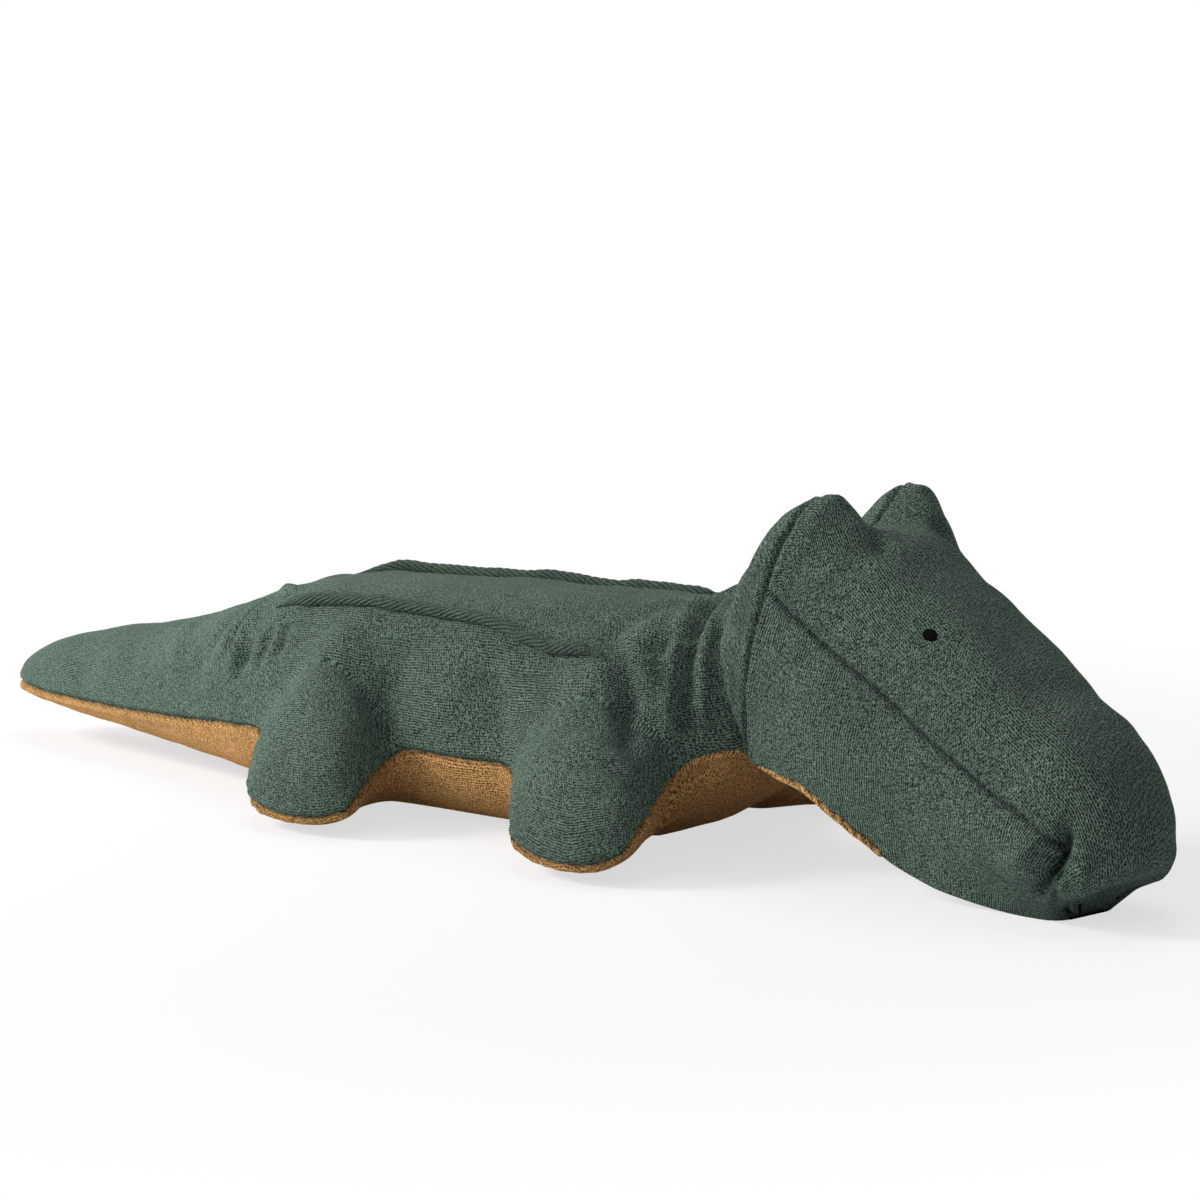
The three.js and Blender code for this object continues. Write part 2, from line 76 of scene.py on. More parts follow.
# Along the body, half width, side seam, back and belly, as shares of the sizes above
BODY_SHARES = (
    (0, 0.03, 0.84, 0.29, 0.78), (0.01, 0.14, 0.83, 0.35, 0.67), (0.036, 0.27, 0.81, 0.43, 0.6),
    (0.088, 0.39, 0.79, 0.51, 0.52), (0.156, 0.5, 0.79, 0.575, 0.42), (0.242, 0.61, 0.82, 0.645, 0.31),
    (0.327, 0.74, 0.88, 0.76, 0.2), (0.391, 0.86, 0.94, 0.87, 0.06), (0.477, 0.98, 0.97, 0.95, -0.02),
    (0.583, 1, 1, 0.98, -0.02), (0.69, 1, 1, 1, -0.02), (0.797, 1, 0.98, 1, -0.02),
    (0.882, 0.97, 1.03, 1, 0.05), (0.925, 0.89, 1.2, 1.01, 0.36), (0.96, 0.76, 1.42, 1.05, 0.9),
    (1, 0.68, 1.52, 1.07, 1.25),
)
# Along the head, lean, then chin; jaw half, jaw; cheek half, cheek; brow half, brow; crest; ear
HEAD_SHARES = (
    (0.01, -0.26, 0.31, 0.68, 0.34, 0.84, 0.56, 0.68, 0.73, 0.785, 0),
    (0.015, -0.06, 0.285, 0.8, 0.33, 0.96, 0.57, 0.84, 0.815, 0.905, 0.25),
    (0.02, 0.14, 0.27, 0.88, 0.32, 1.02, 0.57, 0.92, 0.83, 0.98, 0.85),
    (0.04, 0.26, 0.265, 0.92, 0.305, 1.04, 0.555, 0.92, 0.8, 1, 1),
    (0.12, 0.22, 0.235, 0.92, 0.28, 1.02, 0.52, 0.9, 0.75, 1, 0.55),
    (0.22, 0.16, 0.195, 0.9, 0.24, 0.98, 0.47, 0.86, 0.685, 0.98, 0.1),
    (0.35, 0.1, 0.135, 0.84, 0.185, 0.92, 0.39, 0.8, 0.6, 0.885, 0),
    (0.5, 0.04, 0.07, 0.76, 0.115, 0.84, 0.3, 0.74, 0.48, 0.765, 0),
    (0.65, 0, 0.02, 0.64, 0.057, 0.76, 0.22, 0.68, 0.37, 0.625, 0),
    (0.72, 0.12, -0.004, 0.58, 0.036, 0.72, 0.18, 0.64, 0.305, 0.54, 0),
    (0.755, 0.32, -0.004, 0.54, 0.032, 0.68, 0.15, 0.6, 0.257, 0.45, 0),
    (0.77, 0.64, -0.004, 0.5, 0.032, 0.64, 0.125, 0.54, 0.21, 0.345, 0),
    (0.775, 1.1, 0, 0.44, 0.036, 0.56, 0.1, 0.46, 0.16, 0.245, 0),
    (0.775, 1.9, 0.012, 0.36, 0.042, 0.44, 0.078, 0.34, 0.105, 0.14, 0),
    (0.77, 1.2, 0.02, 0.3, 0.044, 0.28, 0.052, 0.2, 0.058, 0.064, 0),
)
# Rows of the head's table: the gusset's end, where the jaw is drawn in, and the chin's end
GUSSET_ROW = 2.4
JAW_TUCK_ROWS = (4.6, 9.0)
NOSE_ROW = 11.0

# Places over a leg's reach, and its height there as shares of the root's
LEG_HEIGHTS = ((0, 0.35, 0.7, 1), (ROOT_HUMP, 0.79, 0.64, 0.5))


class Part(IntEnum):
    """Stretch of cloth that a face of the skin belongs to."""

    BACK = 0
    TAIL_TOP = 1
    NECK_TOP = 2
    BELLY = 3
    TAIL_UNDER = 4
    THROAT = 5
    HEAD_TOP = 6
    CHEEK_RIGHT = 7
    CHEEK_LEFT = 8
    GUSSET = 9
    CHIN = 10
    LEG_TOPS = 20
    LEG_SOLES = 30


class Cloth(IntEnum):
    """Panel of cloth as cut: two faces of one cloth have no seam between them."""

    BACK = 0
    BELLY = 1
    HEAD_TOP = 2
    CHEEKS = 3
    GUSSET = 4
    CHIN = 5


class Side(Enum):
    """Side of the crocodile."""

    LEFT = 1
    RIGHT = -1

    @property
    def word(self) -> str:
        """The side's word in the pieces' names."""
        return self.name.lower()


def cloth_of(part: int) -> Cloth:
    """The cloth that a part is cut from.

    Args:
        part: Number of the part.

    Returns:
        Its cloth.
    """
    if part in (Part.BACK, Part.TAIL_TOP, Part.NECK_TOP) or Part.LEG_TOPS <= part < Part.LEG_SOLES:
        return Cloth.BACK
    if part in (Part.BELLY, Part.TAIL_UNDER, Part.THROAT) or part >= Part.LEG_SOLES:
        return Cloth.BELLY
    return {Part.HEAD_TOP: Cloth.HEAD_TOP, Part.CHEEK_RIGHT: Cloth.CHEEKS, Part.CHEEK_LEFT: Cloth.CHEEKS,
            Part.GUSSET: Cloth.GUSSET, Part.CHIN: Cloth.CHIN}[Part(part)]


def smoothstep(value: np.ndarray, low: float, high: float) -> np.ndarray:
    """Smooth rise from 0 at low to 1 at high."""
    t = np.clip((value - low) / (high - low), 0, 1)
    return t * t * (3 - 2 * t)


def mix(a: np.ndarray, b: np.ndarray, share: np.ndarray) -> np.ndarray:
    """Value between a and b."""
    return a + (b - a) * share


def oval_fall(q: np.ndarray, roundness: float, fullness: float) -> np.ndarray:
    """Even round fall from 1 at q = 0 to 0 at q = -1 and 1."""
    return np.maximum(1 - np.abs(q) ** roundness, 0) ** fullness


def root_fall(q: np.ndarray) -> np.ndarray:
    """Softer fall of a leg's hump where the leg grows out of the body."""
    return oval_fall(q, 2.0, ROOT_FULLNESS)


def sole_fall(q: np.ndarray) -> np.ndarray:
    """Fuller fall over the width of a sole."""
    return oval_fall(q, 2.4, 0.5)


def toe_fall(q: np.ndarray) -> np.ndarray:
    """Late, steep fall of a leg towards its toe."""
    return oval_fall(q, 4, 0.5)


def rounded_max(a: np.ndarray, b: np.ndarray) -> np.ndarray:
    """The larger of two heights, rounded where they cross."""
    return (a ** 4 + b ** 4) ** 0.25


def ways_across(points: np.ndarray) -> np.ndarray:
    """Way of each point of a sheet from the first point of its row."""
    ways = np.linalg.norm(np.diff(points, axis=1), axis=2)
    return np.concatenate((np.zeros((len(points), 1)), np.cumsum(ways, axis=1)), axis=1)


def down_rows(points: np.ndarray) -> np.ndarray:
    """Mean way of each row of a sheet from its first row."""
    ways = np.cumsum(np.linalg.norm(np.diff(points, axis=0), axis=2).mean(axis=1))
    return np.concatenate(([0.0], ways))


def kd_tree(points: Sequence[Vector]) -> KDTree:
    """A balanced tree of points, to find the nearest in.

    Args:
        points: The points.

    Returns:
        The tree.
    """
    tree = KDTree(len(points))
    for i, point in enumerate(points):
        tree.insert(point, i)
    tree.balance()
    return tree


def linked(name: str, data: bpy.types.ID) -> bpy.types.Object:
    """A new object in the scene.

    Args:
        name: Its name.
        data: Its mesh, lamp or camera.

    Returns:
        The object.
    """
    made = bpy.data.objects.new(name, data)
    bpy.context.scene.collection.objects.link(made)
    return made


def finished(name: str, bm: bmesh.types.BMesh, material: bpy.types.Material) -> bpy.types.Object:
    """A smooth-shaded object from a bmesh, which is freed.

    Args:
        name: Name of the piece.
        bm: Its mesh.
        material: Its finish.

    Returns:
        The object.
    """
    mesh = bpy.data.meshes.new(name)
    bm.to_mesh(mesh)
    bm.free()
    mesh.polygons.foreach_set("use_smooth", [True] * len(mesh.polygons))
    mesh.materials.append(material)
    return linked(name, mesh)


class SmoothCurve:
    """Curve through the rows of a table that never overshoots them."""

    def __init__(self, places: Sequence[float], values: Sequence[float]) -> None:
        """Works out the curve's tangents.

        Args:
            places: Rising places of the rows.
            values: Value at each place.
        """
        self.places, self.values = np.array(places, float), np.array(values, float)
        slopes = np.diff(self.values) / np.diff(self.places)
        before, after = slopes[:-1], slopes[1:]
        total = np.where(before + after == 0, 1, before + after)
        inner = np.where(before * after > 0, 2 * before * after / total, 0)
        self.tangents = np.concatenate(([slopes[0]], inner, [slopes[-1]]))

    def __call__(self, at: np.ndarray) -> np.ndarray:
        """Value of the curve at one or more places.

        Args:
            at: The places.

        Returns:
            The value at each.
        """
        at = np.clip(at, self.places[0], self.places[-1])
        after = np.clip(np.searchsorted(self.places, at, side="left"), 1, len(self.places) - 1)
        span = self.places[after] - self.places[after - 1]
        t = (at - self.places[after - 1]) / span
        rise = self.values[after] - self.values[after - 1]
        early = self.tangents[after - 1] * span - rise
        late = rise - self.tangents[after] * span
        return self.values[after - 1] + rise * t + t * (1 - t) * ((1 - t) * early + t * late)


def table_curves(table: Sequence[Sequence[float]], by_row: bool = False) -> list[SmoothCurve]:
    """A curve for each column of a table.

    Args:
        table: Rows of numbers.
        by_row: Whether the curves run over row numbers, and not over the first column.

    Returns:
        The curves, with the first column's own where they run over row numbers.
    """
    columns = list(zip(*table))
    places = range(len(table)) if by_row else columns[0]
    return [SmoothCurve(places, column) for column in (columns if by_row else columns[1:])]


@dataclass
class LegForm:
    """One leg of the solid model: its place along the body and its reach."""

    name: str
    root_share: float
    toe_share: float
    length: float
    toe_half: float = 0.034
    toe_seam: float = 0.008
    square: float = 0.4

    @property
    def root(self) -> float:
        """Place of the middle of the leg's root."""
        return body_x(self.root_share)

    def point(self, body: "BodyForm", side: Side, across: np.ndarray, out: np.ndarray,
              upward: bool) -> np.ndarray:
        """Points on the leg.

        Args:
            body: The body that carries the leg.
            side: Side of the crocodile.
            across: Places over the leg's width, -1 to 1, as a column.
            out: Places from its root, 0, to its toe, 1, as a row.
            upward: Whether the top is meant, and not the sole.

        Returns:
            Array of points, rows by columns by 3.
        """
        r, e = np.sin(across * np.pi / 2), np.sin(out * np.pi / 2)
        wide = mix(r * np.sqrt(1 - e * e / 2), r, self.square)
        far = mix(e * np.sqrt(1 - r * r / 2), e, self.square)
        half_root, seam_root, _, _ = body.section(self.root + LEG_ROOT_HALF * r)
        half = mix(LEG_ROOT_HALF, self.toe_half, far)
        x = mix(self.root, body_x(self.toe_share), far) + half * wide
        seam = mix(seam_root, self.toe_seam, far)
        past_root = np.minimum(far * 1.6, 1)
        fall = root_fall(r) ** (1 - past_root) * sole_fall(r) ** past_root
        fall = fall * toe_fall(e)
        height = SmoothCurve(*LEG_HEIGHTS)(far) * LEG_ROOT_HEIGHT
        sole = sole_fall(r) * toe_fall(e)
        low = np.maximum(seam - (seam + RESTING_CUT) * sole, 0)
        z = seam + height * fall if upward else low
        y = side.value * mix(half_root, TORSO_WIDTH / 2 + self.length, far)
        return np.stack(np.broadcast_arrays(x, y, z), axis=-1)


LEGS = (LegForm("rear", 0.541, 0.584, 0.047), LegForm("front", 0.853, 0.902, 0.049))
LEG_SIDES = tuple((leg, side) for leg in LEGS for side in Side)


def body_x(share: float) -> float:
    """Place along the body of a share of its length."""
    return (share - BEHIND_ORIGIN) * BODY_LENGTH


class BodyForm:
    """Tail, torso and neck as the solid model has them."""

    back_oval = (2.5, 0.45)
    belly_oval = (3, 0.5)
    back_hump_edges = (0.2, 0.98)
    belly_hump_edges = (0.3, 0.98)

    def __init__(self) -> None:
        """Makes the curves of the body's table."""
        self.curves = table_curves(BODY_SHARES)

    def section(self, x: np.ndarray) -> tuple[np.ndarray, ...]:
        """Half width, side seam height, rise and depth at x.

        Args:
            x: Places along the body.

        Returns:
            The four sizes at each place.
        """
        half, seam, back, belly = (curve(x / BODY_LENGTH + BEHIND_ORIGIN) for curve in self.curves)
        seam_height = seam * SEAM_HEIGHT
        rise = np.maximum(back * BACK_HEIGHT - seam_height, LEAST_RISE)
        depth = np.maximum(seam_height - belly * SEAM_HEIGHT, LEAST_RISE)
        return half * TORSO_WIDTH / 2, seam_height, rise, depth

    def leg_share(self, x: np.ndarray, upward: bool) -> np.ndarray:
        """How much of a leg's hump stands at x, above or below."""
        places = [(x - leg.root) / LEG_ROOT_HALF for leg in LEGS]
        return np.maximum(*map(root_fall if upward else sole_fall, places))

    def surface(self, x: np.ndarray, across: np.ndarray, upward: bool) -> np.ndarray:
        """Points of the upper or lower surface.

        Args:
            x: Places along the body, as a column.
            across: Places between the side seams, -1 to 1, as a row.
            upward: Whether the upper surface is meant.

        Returns:
            Array of points, rows by columns by 3.
        """
        half, seam, rise, depth = self.section(x)
        q = np.sin(across * np.pi / 2)
        if upward:
            dome = rise * oval_fall(q, *self.back_oval)
            edge = smoothstep(np.abs(q), *self.back_hump_edges)
            hump = ROOT_HUMP * LEG_ROOT_HEIGHT * self.leg_share(x, True) * edge
            z = seam + rounded_max(dome, hump)
        else:
            belly = depth * oval_fall(q, *self.belly_oval)
            edge = smoothstep(np.abs(q), *self.belly_hump_edges)
            hump = (seam + RESTING_CUT) * self.leg_share(x, False) * edge
            z = np.maximum(seam - rounded_max(belly, hump), 0)
        return np.stack(np.broadcast_arrays(x, half * q, z), axis=-1)


@dataclass
class HeadForm:
    """The head of the solid model, turned a little to the crocodile's right."""

    length: float = 0.200
    width: float = 0.100
    height: float = 0.140
    ear_height: float = 0.020
    ear_width: float = 0.015
    yaw: float = math.radians(12)
    aside: float = 0.0055
    jaw_draw: float = 0.30
    roll: float = 0.004
    roll_end: float = 0.9
    roll_end_rows: tuple[float, float] = (11.0, 14.0)
    shoulder: float = 0.62
    shoulder_rise: float = 0.78
    chin_oval: tuple[float, float] = (2.2, 0.7)
    chin_hang: float = 0.0026
    hang_end_rows: tuple[float, float] = (5.2, 8.6)
    curves: list[SmoothCurve] = field(default_factory=lambda: table_curves(HEAD_SHARES, by_row=True))

    def placed(self, points: np.ndarray) -> np.ndarray:
        """Points of the head's own frame in the crocodile's.

        Args:
            points: Array of points, by 3.

        Returns:
            The same points, turned and moved.
        """
        c, s = math.cos(self.yaw), math.sin(self.yaw)
        x, y, z = points[..., 0], points[..., 1], points[..., 2]
        return np.stack((body_x(1) + c * x + s * y, self.aside - s * x + c * y, z), axis=-1)

    def forward(self, point: np.ndarray) -> float:
        """How far a point of the crocodile's frame lies along the head."""
        c, s = math.cos(self.yaw), math.sin(self.yaw)
        return float(c * (point[0] - body_x(1)) - s * (point[1] - self.aside))

    def tucked(self, row: np.ndarray, jaw_half: np.ndarray,
               jaw: np.ndarray) -> tuple[np.ndarray, np.ndarray]:
        """Jaw's half width and height, drawn in and down where the green rolls under the nose."""
        share = smoothstep(row, *JAW_TUCK_ROWS)
        return jaw_half * (1 - self.jaw_draw * share), jaw * (1 - share)

    def leant(self, row: np.ndarray, lean: np.ndarray, z: np.ndarray, modelled: np.ndarray) -> np.ndarray:
        """Way forward of a point from its row's place; below the model's jaw the cloth rolls under.

        Args:
            row: Rows of the head's table.
            lean: Lean of each row.
            z: Height of each point.
            modelled: Height of the jaw's seam in the solid model.

        Returns:
            The way forward of each point.
        """
        under = np.clip((modelled - z) / np.maximum(modelled, 1e-6), 0, 1)
        past = self.roll_end * smoothstep(row, *self.roll_end_rows)
        under = under * (smoothstep(row, *JAW_TUCK_ROWS) - past)
        way = np.where(lean < 0, lean * (z - modelled), lean * np.maximum(z - modelled, 0))
        return way - self.roll * under

    def upper(self, row: np.ndarray, side: np.ndarray) -> np.ndarray:
        """Points of the head above its jaw seam.

        Args:
            row: Places over the rows of the table, as a flat array.
            side: Places from the right jaw seam, -4, over the crest to the left, 4, as a flat array.

        Returns:
            Array of points in the crocodile's frame, rows by columns by 3.
        """
        along, lean, _, *shape, crest, ear = (curve(row) for curve in self.curves)
        jaw_half, jaw, cheek_half, cheek, brow_half, brow = shape
        wide, tall = self.width / 2, self.height
        modelled = jaw * tall
        jaw_half, jaw = self.tucked(row, jaw_half, jaw)
        shoulder = mix(brow, crest, self.shoulder_rise)
        ys = [jaw_half * wide, cheek_half * wide, brow_half * wide, brow_half * wide * self.shoulder, 0 * row]
        zs = [jaw * tall, cheek * tall, brow * tall, shoulder * tall, crest * tall]
        ys = np.stack([2 * ys[0] - ys[1], *ys, -ys[3]])
        zs = np.stack([2 * zs[0] - zs[1], *zs, zs[3]])
        place = 4 - np.abs(side)
        cell = np.minimum(np.floor(place), 3).astype(int)
        t = place - cell

        def curved(stack: np.ndarray) -> np.ndarray:
            """Smooth curve through the control points of each row."""
            p, q, r, s = (stack[cell + k].T for k in range(4))
            cubic = (3 * (q - r) + s - p) * t ** 3
            return 0.5 * (2 * q + (r - p) * t + (2 * p - 5 * q + 4 * r - s) * t * t + cubic)

        y, z = curved(ys), curved(zs)
        peak = np.exp(-np.abs((y - ys[4][:, None]) / self.ear_width) ** 3)
        low = zs[3][:, None] - self.ear_width
        rise = ear[:, None] * self.ear_height * peak
        above = np.clip((z - low) / (2 * self.ear_width), 0, 1)
        z = z + rise * above ** 2 * (3 - 2 * above)
        x = along[:, None] * self.length + self.leant(row[:, None], lean[:, None], z, modelled[:, None])
        return self.placed(np.stack((x, np.sign(side) * y, z), axis=-1))

    def lower(self, row: np.ndarray, side: np.ndarray) -> np.ndarray:
        """Points of the chin, given and returned as upper does.

        Args:
            row: Places over the rows of the table, as a flat array.
            side: Places from the right jaw seam, -4, under the chin to the left, 4, as a flat array.

        Returns:
            Array of points in the crocodile's frame, rows by columns by 3.
        """
        along, lean, chin, jaw_half, modelled = (curve(row)[:, None] for curve in self.curves[:5])
        q, row = side / 4, row[:, None]
        jaw_half, jaw = self.tucked(row, jaw_half, modelled)
        least = self.chin_hang * (1 - smoothstep(row, *self.hang_end_rows)) * smoothstep(row, 0, 1)
        depth = np.maximum((jaw - chin) * self.height, least)
        z = jaw * self.height - depth * oval_fall(q, *self.chin_oval)
        x = along * self.length + self.leant(row, lean, jaw * self.height, modelled * self.height)
        x = x + np.minimum(lean, 0) * (z - jaw * self.height)
        y = jaw_half * self.width / 2 * q
        return self.placed(np.stack(np.broadcast_arrays(x, y, np.maximum(z, 0)), axis=-1))


@dataclass(frozen=True)
class Fold:
    """A valley or a ridge in the cloth along a route; depth is below zero for a valley. Millimetres.

    far_share is how much of it the far side has, which the photograph doesn't show.
    """

    depth: float
    width: float
    route: tuple[tuple[float, float, float], ...]
    far_share: float = 0.8


BODY_FOLDS = (
    Fold(1.4, 13.0, ((-92, 20, 86), (-50, 27, 92), (0, 31, 96), (50, 34, 97), (100, 36, 97)), 0),
    Fold(1.6, 12.0, ((-92, -32, 86), (-59, -36, 88), (-26, -37, 93), (29, -42, 88), (83, -47, 83)), 0),
    Fold(2.8, 14.0, ((55, 32, 97), (85, 34, 97), (112, 28, 99)), 0),
    Fold(5.0, 15.0, ((112, 14, 102), (130, 14, 104), (150, 14, 106)), 0),
    Fold(3.6, 4.6, ((156, -5, 108), (156, -22, 103), (155, -35, 90), (154, -40, 75), (155, -44, 56))),
    Fold(-2.6, 3.0, ((139, 2, 108), (144, -20, 103), (146, -35, 92), (147, -42, 78))),
    Fold(2.6, 3.4, ((132, 2, 106), (136, -22, 101), (140, -38, 88), (145, -46, 66), (147, -48, 52))),
    Fold(-4.2, 3.2, ((126, -2, 104), (129, -22, 100), (133, -39, 88), (138, -48, 68), (141, -50, 54))),
    Fold(2.8, 3.6, ((120, -4, 102), (122, -22, 99), (126, -39, 89), (131, -50, 72), (134, -54, 58))),
    Fold(-3.0, 3.4, ((114, -6, 101), (116, -24, 97), (119, -38, 90), (124, -49, 78), (127, -56, 64)), 0.6),
    Fold(-5.0, 5.5, ((92, -40, 89), (98, -44, 86), (110, -54, 76), (119, -62, 66), (127, -70, 54))),
    Fold(2.2, 6.0, ((100, -34, 93), (110, -44, 86), (118, -52, 76))),
    Fold(2.4, 5.0, ((110, -42, 86), (124, -51, 72), (130, -52, 64))),
    Fold(-2.0, 5.0, ((92, -76, 58), (104, -75, 61), (119, -72, 60))),
    Fold(5.0, 14.0, ((90, -48, 85), (96, -55, 78), (99, -62, 70))),
    Fold(4.6, 14.0, ((-44, -48, 85), (-47, -55, 78), (-49, -62, 70))),
    Fold(3.0, 7.0, ((104, -46, 86), (110, -36, 96), (120, -20, 103), (129, -8, 106)), 0.6),
    Fold(-2.6, 7.0, ((91, -38, 91), (97, -27, 97), (108, -12, 102)), 0.6),
    Fold(-2.2, 2.8, ((112, -89, 44), (121, -86, 46), (134, -84, 41), (139, -81, 36)), 0.4),
    Fold(-4.2, 9.0, ((37, -53, 70), (45, -56, 57), (49, -59, 36))),
    Fold(2.4, 12.0, ((14, -54, 70), (16, -57, 58), (18, -60, 40))),
    Fold(1.6, 12.0, ((58, -55, 62), (71, -72, 48), (88, -88, 40))),
    Fold(-4.2, 9.0, ((-15, -54, 68), (-14, -59, 55), (-14, -56, 40))),
    Fold(1.6, 12.0, ((-45, -58, 75), (-48, -73, 61), (-55, -81, 50))),
    Fold(-3.4, 3.2, ((-86, -45, 76), (-87, -50, 65)), 0.3),
    Fold(-3.0, 3.0, ((-94, -42, 74), (-97, -46, 66), (-98, -50, 58)), 0.4),
    Fold(-4.2, 4.2, ((-118, -23, 84), (-122, -36, 73), (-124, -43, 60))),
    Fold(3.0, 4.4, ((-106, -30, 84), (-113, -36, 77), (-116, -43, 66), (-117, -48, 55))),
    Fold(-3.6, 3.6, ((-107, -45, 68), (-110, -47, 60), (-112, -49, 55))),
    Fold(-2.2, 4.0, ((-131, -18, 80), (-136, -32, 70), (-137, -40, 58)), 0.6),
    Fold(2.0, 7.0, ((-171, -15, 69), (-168, -29, 61), (-162, -38, 49)), 0.5),
    Fold(-2.0, 6.0, ((-144, -37, 60), (-144, -42, 51)), 0.6),
    Fold(3.6, 4.0, ((-113, -14, 88), (-99, -24, 88))),
    Fold(-2.6, 3.2, ((139, -71, 24), (136, -57, 30), (139, -46, 35), (149, -42, 40))),
)
# In the head's own frame
HEAD_FOLDS = (
    Fold(-2.8, 3.4, ((46, -15, 145), (57, -21, 137), (62, -21, 131)), 0.8),
    Fold(3.2, 11.0, ((12, -40, 118), (18, -38, 130), (24, -34, 138)), 1.0),
    Fold(1.6, 18.0, ((60, -20, 124), (100, -24, 108), (140, -24, 82)), 0.35),
    Fold(6.2, 17.0, ((90, 22, 106), (115, 24, 92), (138, 25, 75), (156, 25, 60), (168, 23, 44)), 0.15),
    Fold(-3.6, 10.0, ((14, -42, 42), (40, -41, 36), (66, -38, 25)), 0.6),
    Fold(-9.6, 2.8, ((167, -27, 38), (166, -29, 31), (164, -31, 25), (160, -33, 18), (156, -33, 12)), 1.0),
    Fold(-2.6, 2.0, ((163, -32, 20), (164, -29, 14), (162, -27, 7)), 1.0),
    Fold(4.8, 6.0, ((160, -37, 37), (154, -40, 29), (148, -40, 22)), 1.0),
    Fold(-1.3, 1.9, ((163, -32, 30), (154, -38, 33), (147, -40, 34)), 1.0),
    Fold(-1.3, 1.9, ((162, -33, 24), (152, -39, 23), (146, -40, 22)), 1.0),
    Fold(-1.6, 2.4, ((166, -26, 40), (167, -22, 46)), 1.0),
    Fold(2.8, 6.5, ((155, -15, 6), (158, -8, 7), (160, 0, 8)), 1.0),
    Fold(2.6, 5.0, ((171, -20, 30), (170, -21, 18)), 1.0),
    Fold(-1.9, 4.0, ((93, -27, 106), (92, -28, 107)), 1.0),
    Fold(-0.8, 2.6, ((90, -30, 108), (76, -36, 112)), 0.6),
)


